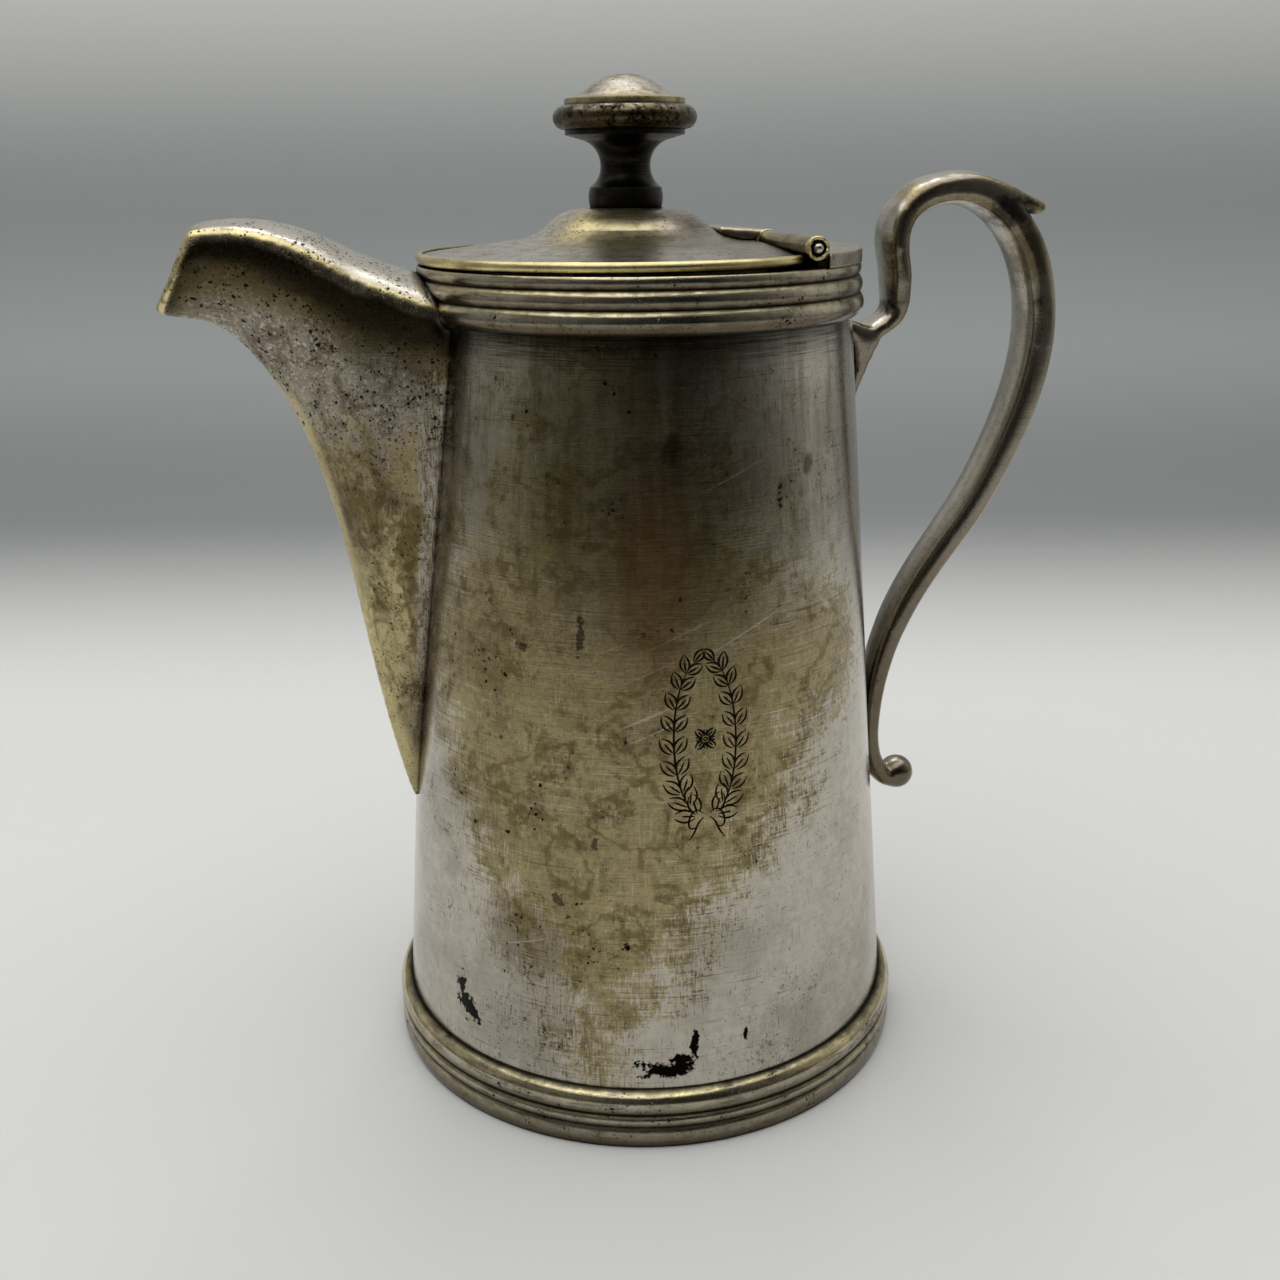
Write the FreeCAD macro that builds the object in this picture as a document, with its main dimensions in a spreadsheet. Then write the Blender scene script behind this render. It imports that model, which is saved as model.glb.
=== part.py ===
"""Silver-plated coffee pot: tapered body, beak spout, scroll handle and a lid on a long hinge.

Millimetres. The origin is the centre of the foot on the table, +Z is up, the spout points to -X,
the handle to +X, and the engraved side faces -Y. The lid swings about the hinge pin, along +Y.
"""
import FreeCAD
import Part
import Sketcher
import math
import os

# Driving dimensions, which the sheet holds under the same names
SIZES = {
    # clearances
    "solder_gap": 0.06,
    "lid_gap": 0.35,
    "pin_clearance": 0.05,
    "knuckle_gap": 0.35,
    # wall of the pot
    "wall_base_radius": 55.3,
    "wall_mouth_radius": 42.0,
    "mouth_height": 169.0,
    "wall_sheet": 1.2,
    "base_plate_height": 3.0,
    "base_plate_sheet": 1.4,
    "base_plate_rise": 2.0,
    # reeded foot
    "foot_stand": 1.7,
    "foot_groove_depth": 0.75,
    "foot_lower_groove": 4.7,
    "foot_upper_groove": 7.4,
    "foot_height": 12.5,
    "foot_edge_round": 0.7,
    # reeded rim, heights measured down from the mouth
    "rim_stand": 3.0,
    "rim_groove_depth": 0.9,
    "rim_depth": 10.3,
    "rim_lower_groove": 5.7,
    "rim_upper_groove": 2.3,
    "rim_step": 0.35,
    # strainer behind the spout
    "strainer_hole_radius": 2.0,
    "strainer_pitch": 7.0,
    "strainer_column": 6.5,
    "strainer_top": 19.0,
    # spout, cast, measured from the edge of the mouth
    "spout_wall": 1.5,
    "spout_bulge": 1.4,
    "spout_reach": 50.8,
    "spout_depth": 167.0,
    "spout_rise": 8.6,
    "spout_half_width": 15.6,
    "spout_top_reach": 43.8,
    "spout_top_rise": 6.0,
    "spout_lip_drop": 6.4,
    # hinge
    "hinge_inset": 20.0,
    "hinge_rise": 3.6,
    "barrel_radius": 2.1,
    "pin_radius": 1.0,
    "hinge_end_inset": 0.6,
    "lid_knuckle_half": 6.5,
    "pin_recess": 0.7,
    "hinge_plate_thickness": 2.6,
    "hinge_plate_round": 0.6,
    # lid, spun about its own axis
    "lid_offset": 2.5,
    "lid_inset": 0.1,
    "lid_sheet": 1.1,
    "lid_wire_width": 1.3,
    "lid_wire_height": 2.0,
    "lid_edge_rise": 1.9,
    "dome_foot_radius": 25.0,
    "dome_foot_rise": 3.9,
    "dome_shoulder_radius": 16.5,
    "dome_shoulder_rise": 6.6,
    "dome_top_radius": 8.4,
    "dome_top_rise": 10.3,
    "dome_swell": 0.7,
    "dome_hollow": 0.6,
    "bezel_clearance": 1.3,
    "bezel_sheet": 1.0,
    "bezel_depth": 6.0,
    "saddle_length": 10.0,
    "saddle_rise": 0.7,
    # knob, turned
    "stud_radius": 2.0,
    "collar_radius": 7.35,
    "collar_height": 3.8,
    "collar_swell": 0.3,
    "waist_radius": 4.9,
    "stem_height": 14.4,
    "stem_flare": 3.0,
    "stem_flare_drop": 2.0,
    "stem_lip_height": 0.9,
    "button_radius": 14.0,
    "button_neck_radius": 11.7,
    "button_neck_inset": 0.4,
    "button_height": 4.4,
    "cap_height": 5.6,
    "cap_lip_height": 0.9,
    "cap_lip_width": 1.0,
    "stud_grip": 2.0,
    "washer_radius": 6.0,
    "washer_thickness": 1.0,
    "nut_radius": 4.0,
    "nut_height": 3.2,
    # handle, cast
    "handle_top_rise": 16.3,
    "handle_stand": 46.8,
    "handle_width": 10.0,
    "handle_foot_width": 8.0,
    "handle_end_width": 7.0,
    "handle_thickness": 6.2,
    "handle_foot_thickness": 2.9,
    "handle_front_thickness": 4.0,
    "handle_end_thickness": 3.2,
    "handle_bulge_drop": 32.7,
    "front_leg_stand": 7.6,
    "upper_mount_drop": 16.1,
    "lower_mount_height": 60.0,
    "lower_pad_thickness": 1.5,
    "lower_pad_radius": 3.6,
    "lower_pad_gap": 0.3,
    "leaf_stand": 6.6,
    "leaf_shoulder": 1.8,
    "leaf_sheet": 1.1,
    "leaf_width": 8.4,
    "leaf_length": 22.4,
    "spur_stand": 42.6,
    "spur_length": 22.0,
    "spur_drop": 7.4,
    "spur_thickness": 2.7,
    "ball_radius": 3.4,
    "ball_reach": 8.0,
    "ball_drop": 9.8,
}

document = FreeCAD.newDocument("coffee_pot")
sheet = document.addObject("Spreadsheet::Sheet", "Sizes")


class Size:
    """A length with its value and the expression over the sheet that gives it."""

    def __init__(self, value, text):
        self.value = value
        self.text = text

    def __add__(self, other):
        other = as_size(other)
        return Size(self.value + other.value, f"({self.text} + {other.text})")

    def __sub__(self, other):
        other = as_size(other)
        return Size(self.value - other.value, f"({self.text} - {other.text})")

    def __mul__(self, other):
        other = as_size(other)
        return Size(self.value * other.value, f"({self.text} * {other.text})")

    def __truediv__(self, other):
        other = as_size(other)
        return Size(self.value / other.value, f"({self.text} / {other.text})")

    def __neg__(self):
        return Size(-self.value, f"(0 - {self.text})")


def as_size(number):
    if isinstance(number, Size):
        return number
    return Size(float(number), f"({float(number)})")


def root(size):
    return Size(math.sqrt(size.value), f"sqrt({size.text})")


class SheetSizes:
    """The sheet's cells by name."""


s = SheetSizes()
for row, (alias, number) in enumerate(SIZES.items(), start=1):
    sheet.set(f"A{row}", alias)
    sheet.set(f"B{row}", str(number))
    sheet.setAlias(f"B{row}", alias)
document.recompute()
for alias in SIZES:
    setattr(s, alias, Size(getattr(sheet, alias), f"Sizes.{alias}"))

ZERO = as_size(0)


class Through:
    """A point that an arc passes through between two corners of an outline."""

    def __init__(self, across, up):
        self.across = as_size(across)
        self.up = as_size(up)


def crown_point(radius, low, high):
    """Half-way point of the round crown that rises from an edge to its top on the axis."""
    rise = high - low
    ball = (radius * radius + rise * rise) / (rise * 2)
    half = radius * 0.5
    return Through(half, high - ball + root(ball * ball - half * half))


def vector(point):
    return FreeCAD.Vector(point[0].value, point[1].value, 0)


def pin_point(sketch, geometry, position, across, up):
    """Fix a point of the sketch at two sheet expressions."""
    for kind, size in (("DistanceX", across), ("DistanceY", up)):
        constraint = Sketcher.Constraint(kind, -1, 1, geometry, position, size.value)
        index = sketch.addConstraint(constraint)
        sketch.setExpression(f"Constraints[{index}]", size.text)


def draw(sketch, outline):
    """Draw a closed outline of corners, with an arc where a Through point follows a corner."""
    corners = []
    bends = []
    for item in outline:
        if isinstance(item, Through):
            bends[-1] = item
        else:
            corners.append((as_size(item[0]), as_size(item[1])))
            bends.append(None)
    starts = []
    ends = []
    for number, corner in enumerate(corners):
        following = corners[(number + 1) % len(corners)]
        bend = bends[number]
        if bend is None:
            edge = Part.LineSegment(vector(corner), vector(following))
        else:
            edge = Part.Arc(vector(corner), vector((bend.across, bend.up)), vector(following))
        geometry = sketch.addGeometry(edge, False)
        first = sketch.getPoint(geometry, 1)
        forward = (first - vector(corner)).Length < (first - vector(following)).Length
        starts.append((geometry, 1 if forward else 2))
        ends.append((geometry, 2 if forward else 1))
        if bend is not None:
            point = sketch.addGeometry(Part.Point(vector((bend.across, bend.up))), True)
            pin_point(sketch, point, 1, bend.across, bend.up)
            sketch.addConstraint(Sketcher.Constraint("PointOnObject", point, 1, geometry))
    for number, corner in enumerate(corners):
        sketch.addConstraint(Sketcher.Constraint("Coincident", *ends[number - 1], *starts[number]))
        pin_point(sketch, *starts[number], *corner)


def draw_circle(sketch, across, up, radius):
    centre = vector((as_size(across), as_size(up)))
    circle = sketch.addGeometry(Part.Circle(centre, FreeCAD.Vector(0, 0, 1), radius.value), False)
    pin_point(sketch, circle, 3, as_size(across), as_size(up))
    index = sketch.addConstraint(Sketcher.Constraint("Radius", circle, radius.value))
    sketch.setExpression(f"Constraints[{index}]", radius.text)


def new_body(label, across=None):
    """A body, moved along X where its own axis stands off the pot's."""
    body = document.addObject("PartDesign::Body", label)
    body.Label = label
    if across is not None:
        body.setExpression("Placement.Base.x", across.text)
    return body


def new_sketch(body, plane, offset=None):
    sketch = body.newObject("Sketcher::SketchObject", body.Label + "_sketch")
    origin_plane = [item for item in body.Origin.OriginFeatures if item.Role == plane][0]
    sketch.AttachmentSupport = [(origin_plane, "")]
    sketch.MapMode = "FlatFace"
    if offset is not None:
        sketch.setExpression("AttachmentOffset.Base.z", offset.text)
    return sketch


def turn(body, outline, kind="Revolution"):
    """Turn an outline about the body's own Z axis, adding metal or, as a Groove, taking it away."""
    sketch = new_sketch(body, "XZ_Plane")
    draw(sketch, outline)
    feature = body.newObject("PartDesign::" + kind, body.Label + "_turned")
    feature.Profile = sketch
    feature.ReferenceAxis = (sketch, ["V_Axis"])
    feature.Angle = 360
    document.recompute()
    return feature


def pad(body, sketch, length, symmetric=False, reverse=False):
    feature = body.newObject("PartDesign::Pad", body.Label + "_pad")
    feature.Profile = sketch
    feature.SideType = "Symmetric" if symmetric else "One side"
    feature.Reversed = reverse
    feature.setExpression("Length", length.text)
    document.recompute()
    return feature


def cut_through(body, sketch, two_sides=False, reverse=False):
    """Cut the sketch through the body, and stop if that takes nothing away."""
    before = body.Shape.Volume
    feature = body.newObject("PartDesign::Pocket", body.Label + "_cut")
    feature.Profile = sketch
    feature.Type = "ThroughAll"
    if two_sides:
        feature.SideType = "Two sides"
        feature.Type2 = "ThroughAll"
    feature.Reversed = reverse
    document.recompute()
    if not body.Shape.Volume < before:
        raise RuntimeError(f"{body.Label}: the cut takes nothing away")
    return feature


# Places that several pieces share


def wall_at(height):
    """Outer radius of the wall at a height."""
    height = as_size(height)
    return s.wall_base_radius - (s.wall_base_radius - s.wall_mouth_radius) * height / s.mouth_height


FOOT_RADIUS = s.wall_base_radius + s.foot_stand
RIM_RADIUS = s.wall_mouth_radius + s.rim_stand
RIM_BOTTOM = s.mouth_height - s.rim_depth
HINGE_REACH = RIM_RADIUS - s.hinge_inset
HINGE_HEIGHT = s.mouth_height + s.hinge_rise
PLATE_RADIUS = RIM_RADIUS - s.rim_step * 2
PLATE_FRONT = HINGE_REACH + s.barrel_radius + s.solder_gap
PLATE_HALF_CHORD = root(PLATE_RADIUS * PLATE_RADIUS - PLATE_FRONT * PLATE_FRONT)
HINGE_HALF_LENGTH = PLATE_HALF_CHORD - s.hinge_end_inset
LID_AXIS = -s.lid_offset
LID_CUT = HINGE_REACH + s.lid_offset - s.barrel_radius - s.knuckle_gap
LID_RADIUS = PLATE_RADIUS - s.lid_offset - s.lid_inset
LID_BOTTOM = s.mouth_height + s.lid_gap
DOME_TOP = s.mouth_height + s.dome_top_rise
DOME_FOOT = s.mouth_height + s.dome_foot_rise
COVER_RADIUS = LID_RADIUS - s.lid_wire_width
BEZEL_RADIUS = s.wall_mouth_radius - s.wall_sheet - s.lid_offset - s.bezel_clearance
BELOW_TABLE = -s.mouth_height
ABOVE_POT = s.mouth_height * 2
DIAGONAL = math.sqrt(0.5)

# Height of each reed's crest, as a share of the reed
FOOT_REED_CREST = 0.42
RIM_LOW_REED_CREST = 0.52
RIM_TOP_REED_CREST = 0.55

# Rows of strainer holes, and how many of them are three holes wide
STRAINER_ROWS = 7
STRAINER_WIDE_ROWS = 4

# Sections of the spout as shares: way out, keel depth, edge height, crest height, half width
SPOUT_SECTIONS = [
    (-0.079, -1.000, -0.790, -0.395, 1.000),
    (0.157, -0.689, -0.510, -0.035, 0.917),
    (0.354, -0.374, -0.010, 0.453, 0.795),
    (0.531, -0.162, 0.547, 0.872, 0.686),
    (0.728, -0.071, 0.849, 1.000, 0.590),
    (1.063, -0.032, -0.090, -0.035, 0.474),
]

# Stand of the leaf's belly as a share of the seat's, and half width of its tip as a share of the leaf's
LEAF_BELLY = 0.72
LEAF_TIP = 0.08
# Slope of the handle's foot where it leaves the leaf
FOOT_SLOPE = math.radians(35)
# How far the strap's faces are crowned, as shares of its thickness
OUTER_CROWN = 0.22
INNER_CROWN = 0.16
# How much of the spur's thickness is sunk in the strap
SPUR_OVERLAP = 0.2
# Front leg from the leaf to the front of the loop, as shares: way out, way up to the crown,
# growth of the width, growth of the thickness
FRONT_LEG = [
    (0.0, 0.0, 0.0, 0.0),
    (0.558, 0.065, 0.0, 0.0),
    (1.215, 0.196, 0.0, 0.5),
    (1.215, 0.355, 0.5, 1.0),
    (1.0, 0.597, 1.0, 1.0),
]
# Loop from the front leg to the bulge of the back, as shares: way out, way down from the crown,
# growth of the thickness
LOOP = [
    (0.044, 0.135, 0.18),
    (0.191, 0.024, 0.50),
    (0.422, 0.0, 0.50),
    (0.677, 0.107, 0.73),
    (0.889, 0.361, 1.0),
    (0.991, 0.694, 1.0),
    (1.0, 1.0, 1.0),
]
# Back leg between its lower end and its bulge, as shares: way out, way up, growth of the section
BACK_LEG = [
    (0.929, 0.867, 0.95),
    (0.729, 0.682, 0.80),
    (0.385, 0.478, 0.60),
    (0.137, 0.308, 0.35),
    (0.023, 0.151, 0.12),
]
# Rolled end from the lower mount to the ball, as shares: way out, way down, width, thickness
ROLLED_END = [
    (0.0, -0.204, 1.0, 1.0),
    (0.2, 0.633, 1.0, 1.0),
    (0.575, 1.041, 0.9, 0.9),
    (0.95, 1.143, 0.5, 0.7),
]
# Spur from its root on the loop to its tip, as shares: way out, way down, width, thickness
SPUR = [
    (0.0, 0.237, 0.8, 1.0),
    (0.405, 0.365, 0.96, 1.0),
    (0.7, 0.703, 0.9, 0.95),
    (1.0, 1.0, 0.6, 0.65),
]
SPUR_TIP_SLOPE = 0.36


def inside_of_wall(stand_off):
    """Outline of the space that the wall and the rim take up, for trimming what is soldered on."""
    rim = RIM_RADIUS + stand_off
    return [
        (ZERO, BELOW_TABLE),
        (wall_at(BELOW_TABLE) + stand_off, BELOW_TABLE),
        (wall_at(RIM_BOTTOM) + stand_off, RIM_BOTTOM - stand_off),
        (rim, RIM_BOTTOM - stand_off),
        (rim, ABOVE_POT),
        (ZERO, ABOVE_POT),
    ]


def make_body_wall():
    body = new_body("body_wall")
    inner_base = s.wall_base_radius - s.wall_sheet
    inner_mouth = s.wall_mouth_radius - s.wall_sheet
    turn(body, [
        (inner_base, ZERO),
        (s.wall_base_radius, ZERO),
        (s.wall_mouth_radius, s.mouth_height),
        (inner_mouth, s.mouth_height),
    ])
    holes = new_sketch(body, "YZ_Plane")
    for row in range(STRAINER_ROWS):
        up = RIM_BOTTOM - s.strainer_top + s.strainer_pitch - s.strainer_pitch * row
        draw_circle(holes, ZERO, up, s.strainer_hole_radius)
        if row < STRAINER_WIDE_ROWS:
            draw_circle(holes, s.strainer_column, up, s.strainer_hole_radius)
            draw_circle(holes, -s.strainer_column, up, s.strainer_hole_radius)
    cut_through(body, holes)
    return body


def make_base_plate():
    body = new_body("base_plate")
    low = s.base_plate_height
    high = low + s.base_plate_sheet
    low_edge = wall_at(low) - s.wall_sheet - s.solder_gap
    high_edge = wall_at(high) - s.wall_sheet - s.solder_gap
    turn(body, [
        (ZERO, low + s.base_plate_rise),
        crown_point(low_edge, low, low + s.base_plate_rise),
        (low_edge, low),
        (high_edge, high),
        crown_point(high_edge, high, high + s.base_plate_rise),
        (ZERO, high + s.base_plate_rise),
    ])
    return body


def make_foot_moulding():
    body = new_body("foot_moulding")
    groove = FOOT_RADIUS - s.foot_groove_depth
    edge = FOOT_RADIUS - s.foot_edge_round
    top_reed = s.foot_height - s.foot_upper_groove
    turn(body, [
        (wall_at(ZERO) + s.solder_gap, ZERO),
        (edge, ZERO),
        Through(FOOT_RADIUS, s.foot_lower_groove * 0.5),
        (groove, s.foot_lower_groove),
        Through(FOOT_RADIUS, (s.foot_lower_groove + s.foot_upper_groove) * 0.5),
        (groove, s.foot_upper_groove),
        Through(FOOT_RADIUS, s.foot_upper_groove + top_reed * FOOT_REED_CREST),
        (wall_at(s.foot_height) + s.solder_gap, s.foot_height),
    ])
    return body


def make_rim_moulding():
    body = new_body("rim_moulding")
    low = s.mouth_height - s.rim_lower_groove
    high = s.mouth_height - s.rim_upper_groove
    middle_radius = RIM_RADIUS - s.rim_step
    top_radius = middle_radius - s.rim_step
    turn(body, [
        (wall_at(RIM_BOTTOM) + s.solder_gap, RIM_BOTTOM),
        Through(RIM_RADIUS, RIM_BOTTOM + (low - RIM_BOTTOM) * RIM_LOW_REED_CREST),
        (RIM_RADIUS - s.rim_groove_depth, low),
        Through(middle_radius, (low + high) * 0.5),
        (middle_radius - s.rim_groove_depth, high),
        Through(top_radius, high + s.rim_upper_groove * RIM_TOP_REED_CREST),
        (top_radius - s.rim_step, s.mouth_height),
        (s.wall_mouth_radius + s.solder_gap, s.mouth_height),
    ])
    return body


def spout_section(body, shares, wall):
    """One section across the spout: two bowed sides from the keel and an arched roof."""
    out, keel, edge, crest, half = shares
    half_width = s.spout_half_width * half
    outer_keel = s.mouth_height + s.spout_depth * keel
    outer_edge = s.mouth_height + s.spout_rise * edge
    depth = outer_edge - outer_keel
    keel_up = outer_keel + wall * root(half_width * half_width + depth * depth) / half_width
    edge_up = outer_edge - wall * DIAGONAL
    crest_up = s.mouth_height + s.spout_rise * crest - wall
    side = half_width - wall
    bow = side * 0.5 + s.spout_bulge
    bow_up = (keel_up + edge_up) * 0.5 - s.spout_bulge
    sketch = new_sketch(body, "YZ_Plane", -(s.wall_mouth_radius + s.spout_reach * out))
    draw(sketch, [
        (ZERO, keel_up),
        Through(bow, bow_up),
        (side, edge_up),
        Through(ZERO, crest_up),
        (-side, edge_up),
        Through(-bow, bow_up),
    ])
    return sketch


def make_spout():
    body = new_body("spout")
    for kind, wall in (("AdditiveLoft", ZERO), ("SubtractiveLoft", s.spout_wall)):
        sections = [spout_section(body, shares, wall) for shares in SPOUT_SECTIONS]
        loft = body.newObject("PartDesign::" + kind, "spout_" + kind)
        loft.Profile = sections[0]
        loft.Sections = sections[1:]
        document.recompute()
    turn(body, inside_of_wall(s.solder_gap), "Groove")
    # slanted mouth: cut off what lies beyond the line from the lip to the top
    mouth = new_sketch(body, "XZ_Plane")
    top = (-(s.wall_mouth_radius + s.spout_top_reach), s.mouth_height + s.spout_top_rise)
    lip = (-(s.wall_mouth_radius + s.spout_reach), s.mouth_height - s.spout_lip_drop)
    across = top[0] - lip[0]
    up = top[1] - lip[1]
    beyond = lip[0] - s.spout_reach
    draw(mouth, [
        (lip[0] - across, lip[1] - up),
        (top[0] + across, top[1] + up),
        (beyond, top[1] + up),
        (beyond, lip[1] - up),
    ])
    cut_through(body, mouth, two_sides=True)
    return body


def make_hinge_plate():
    """Fixed segment of the cover, from the hinge to the rim."""
    body = new_body("hinge_plate")
    sketch = new_sketch(body, "XY_Plane", s.mouth_height + s.solder_gap)
    draw(sketch, [
        (PLATE_FRONT, -PLATE_HALF_CHORD),
        Through(PLATE_RADIUS, ZERO),
        (PLATE_FRONT, PLATE_HALF_CHORD),
    ])
    plate = pad(body, sketch, s.hinge_plate_thickness)
    highest = plate.Shape.BoundBox.Center.z
    edges = []
    for number, edge in enumerate(plate.Shape.Edges, start=1):
        if edge.BoundBox.ZMin > highest and isinstance(edge.Curve, Part.Circle):
            edges.append(f"Edge{number}")
    rounding = body.newObject("PartDesign::Fillet", "hinge_plate_round")
    rounding.Base = (plate, edges)
    rounding.setExpression("Radius", s.hinge_plate_round.text)
    document.recompute()
    return body


def barrel_bore(body, across, start):
    sketch = new_sketch(body, "XZ_Plane", start)
    draw_circle(sketch, across, HINGE_HEIGHT, s.pin_radius + s.pin_clearance)
    cut_through(body, sketch, two_sides=True)


def make_hinge_knuckle(label, side):
    """Body knuckle: a tube with a foot on the front edge of the hinge plate."""
    body = new_body(label)
    x = HINGE_REACH
    z = HINGE_HEIGHT
    r = s.barrel_radius
    start = s.lid_knuckle_half + s.knuckle_gap
    plane = start if side < 0 else -start
    sketch = new_sketch(body, "XZ_Plane", plane)
    draw(sketch, [
        (x + r, z),
        Through(x, z + r),
        (x - r, z),
        Through(x - r * DIAGONAL, z - r * DIAGONAL),
        (x, z - r),
        (x, s.mouth_height + s.solder_gap),
        (x + r, s.mouth_height + s.solder_gap),
    ])
    pad(body, sketch, HINGE_HALF_LENGTH - start, reverse=side > 0)
    barrel_bore(body, x, plane)
    return body


def make_hinge_pin():
    pin = document.addObject("Part::Cylinder", "hinge_pin")
    pin.Label = "hinge_pin"
    half = HINGE_HALF_LENGTH - s.pin_recess
    pin.setExpression("Radius", s.pin_radius.text)
    pin.setExpression("Height", (half * 2).text)
    pin.Placement.Rotation = FreeCAD.Rotation(FreeCAD.Vector(1, 0, 0), -90)
    pin.setExpression("Placement.Base.x", HINGE_REACH.text)
    pin.setExpression("Placement.Base.y", (-half).text)
    pin.setExpression("Placement.Base.z", HINGE_HEIGHT.text)
    return pin


def dome_curve(drop):
    """Ogee of the cover from the knob out to the edge, lowered by the sheet for its inside."""
    shoulder_up = s.mouth_height + s.dome_shoulder_rise - drop
    top_up = DOME_TOP - drop
    foot_up = DOME_FOOT - drop
    swell_across = (s.dome_top_radius + s.dome_shoulder_radius) * 0.5 + s.dome_swell
    swell_up = (top_up + shoulder_up) * 0.5 + s.dome_swell
    hollow_across = (s.dome_shoulder_radius + s.dome_foot_radius) * 0.5 - s.dome_hollow
    hollow_up = (shoulder_up + foot_up) * 0.5 - s.dome_hollow
    return [
        (s.dome_top_radius, top_up),
        Through(swell_across, swell_up),
        (s.dome_shoulder_radius, shoulder_up),
        Through(hollow_across, hollow_up),
        (s.dome_foot_radius, foot_up),
        (COVER_RADIUS, s.mouth_height + s.lid_edge_rise - drop),
    ]


def cut_at_hinge(body):
    """Cut the lid's piece straight along the hinge."""
    sketch = new_sketch(body, "XY_Plane")
    far = LID_RADIUS * 2
    draw(sketch, [(LID_CUT, -far), (far, -far), (far, far), (LID_CUT, far)])
    cut_through(body, sketch, reverse=True)


def make_lid_dome():
    body = new_body("lid_dome", LID_AXIS)
    hole = s.stud_radius + s.solder_gap
    inside = dome_curve(s.lid_sheet)
    corners = [(hole, DOME_TOP)] + dome_curve(ZERO)
    # the inside runs back from the edge, so each arc's point follows the corner beyond it
    corners += [inside[5], inside[4], inside[3], inside[2], inside[1], inside[0]]
    corners.append((hole, DOME_TOP - s.lid_sheet))
    turn(body, corners)
    cut_at_hinge(body)
    return body


def make_lid_edge_wire():
    body = new_body("lid_edge_wire", LID_AXIS)
    inner = COVER_RADIUS + s.solder_gap
    high = LID_BOTTOM + s.lid_wire_height
    flat = (inner + LID_RADIUS) * 0.5
    turn(body, [
        (inner, LID_BOTTOM),
        (flat, LID_BOTTOM),
        Through(LID_RADIUS, LID_BOTTOM + s.lid_wire_height * 0.5),
        (flat, high),
        (inner, high),
    ])
    cut_at_hinge(body)
    return body


def make_lid_bezel():
    """Ring that centres the lid in the mouth, soldered to the underside of the cover."""
    body = new_body("lid_bezel", LID_AXIS)
    slope = (s.dome_foot_rise - s.lid_edge_rise) / (COVER_RADIUS - s.dome_foot_radius)
    edge = s.mouth_height + s.lid_edge_rise - s.lid_sheet - s.solder_gap
    inner = BEZEL_RADIUS - s.bezel_sheet
    turn(body, [
        (BEZEL_RADIUS, s.mouth_height - s.bezel_depth),
        (BEZEL_RADIUS, edge + slope * (COVER_RADIUS - BEZEL_RADIUS)),
        (inner, edge + slope * (COVER_RADIUS - inner)),
        (inner, s.mouth_height - s.bezel_depth),
    ])
    cut_at_hinge(body)
    return body


def make_lid_knuckle():
    """Lid's knuckle: a tube with a saddle that rides up on the cover."""
    body = new_body("lid_knuckle", LID_AXIS)
    x = HINGE_REACH + s.lid_offset
    z = HINGE_HEIGHT
    r = s.barrel_radius
    under = DOME_FOOT + s.solder_gap * 2
    lift = under - z
    neck = root(r * r - lift * lift)
    saddle_end = x - s.saddle_length
    # the saddle is shaped to the cover as far as the cover's edge, and the tube stands clear of it
    edge = LID_CUT + s.solder_gap
    edge_up = z + r + s.saddle_rise * (x - edge) / s.saddle_length
    saddle = new_sketch(body, "XZ_Plane")
    draw(saddle, [
        (edge, edge_up),
        (saddle_end, z + r + s.saddle_rise),
        (saddle_end, under),
        (edge, under),
    ])
    pad(body, saddle, s.lid_knuckle_half * 2, symmetric=True)
    cover = dome_curve(-s.solder_gap)[:5]
    turn(body, cover + [(s.dome_foot_radius, z - r), (s.dome_top_radius, z - r)], "Groove")
    tube = new_sketch(body, "XZ_Plane")
    draw(tube, [
        (x, z + r),
        (edge, edge_up),
        (edge, under),
        (x - neck, under),
        Through(x, z - r),
        (x + r, z),
        Through(x + r * DIAGONAL, z + r * DIAGONAL),
    ])
    pad(body, tube, s.lid_knuckle_half * 2, symmetric=True)
    barrel_bore(body, x, ZERO)
    return body


def make_knob_stem():
    body = new_body("knob_stem", LID_AXIS)
    bore = s.stud_radius + s.solder_gap
    low = DOME_TOP + s.solder_gap
    collar = low + s.collar_height
    high = low + s.stem_height
    flare = high - s.stem_flare_drop
    collar_edge = s.collar_radius - s.collar_swell
    turn(body, [
        (bore, low),
        (collar_edge, low),
        Through(s.collar_radius, low + s.collar_height * 0.5),
        (collar_edge, collar),
        Through(s.waist_radius, (collar + flare) * 0.5),
        (s.waist_radius + s.stem_flare, flare),
        (s.button_neck_radius, high - s.stem_lip_height),
        (s.button_neck_radius, high),
        (bore, high),
    ])
    return body


def make_knob_ring():
    body = new_body("knob_ring", LID_AXIS)
    bore = s.stud_radius + s.solder_gap
    low = DOME_TOP + s.stem_height + s.solder_gap * 2
    high = low + s.button_height
    neck = s.button_neck_radius - s.button_neck_inset
    turn(body, [
        (bore, low),
        (neck, low),
        Through(s.button_radius, (low + high) * 0.5),
        (neck, high),
        (bore, high),
    ])
    return body


def make_knob_cap():
    body = new_body("knob_cap", LID_AXIS)
    low = DOME_TOP + s.stem_height + s.button_height + s.solder_gap * 3
    lip = low + s.cap_lip_height
    top = low + s.cap_height
    rim = s.button_neck_radius
    crown = rim - s.cap_lip_width
    hole = s.stud_radius + s.solder_gap
    blind = low + s.stud_grip + s.solder_gap
    turn(body, [
        (hole, low),
        (rim, low),
        (rim, lip),
        (crown, lip),
        crown_point(crown, lip, top),
        (ZERO, top),
        (ZERO, blind),
        (hole, blind),
    ])
    return body


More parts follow.
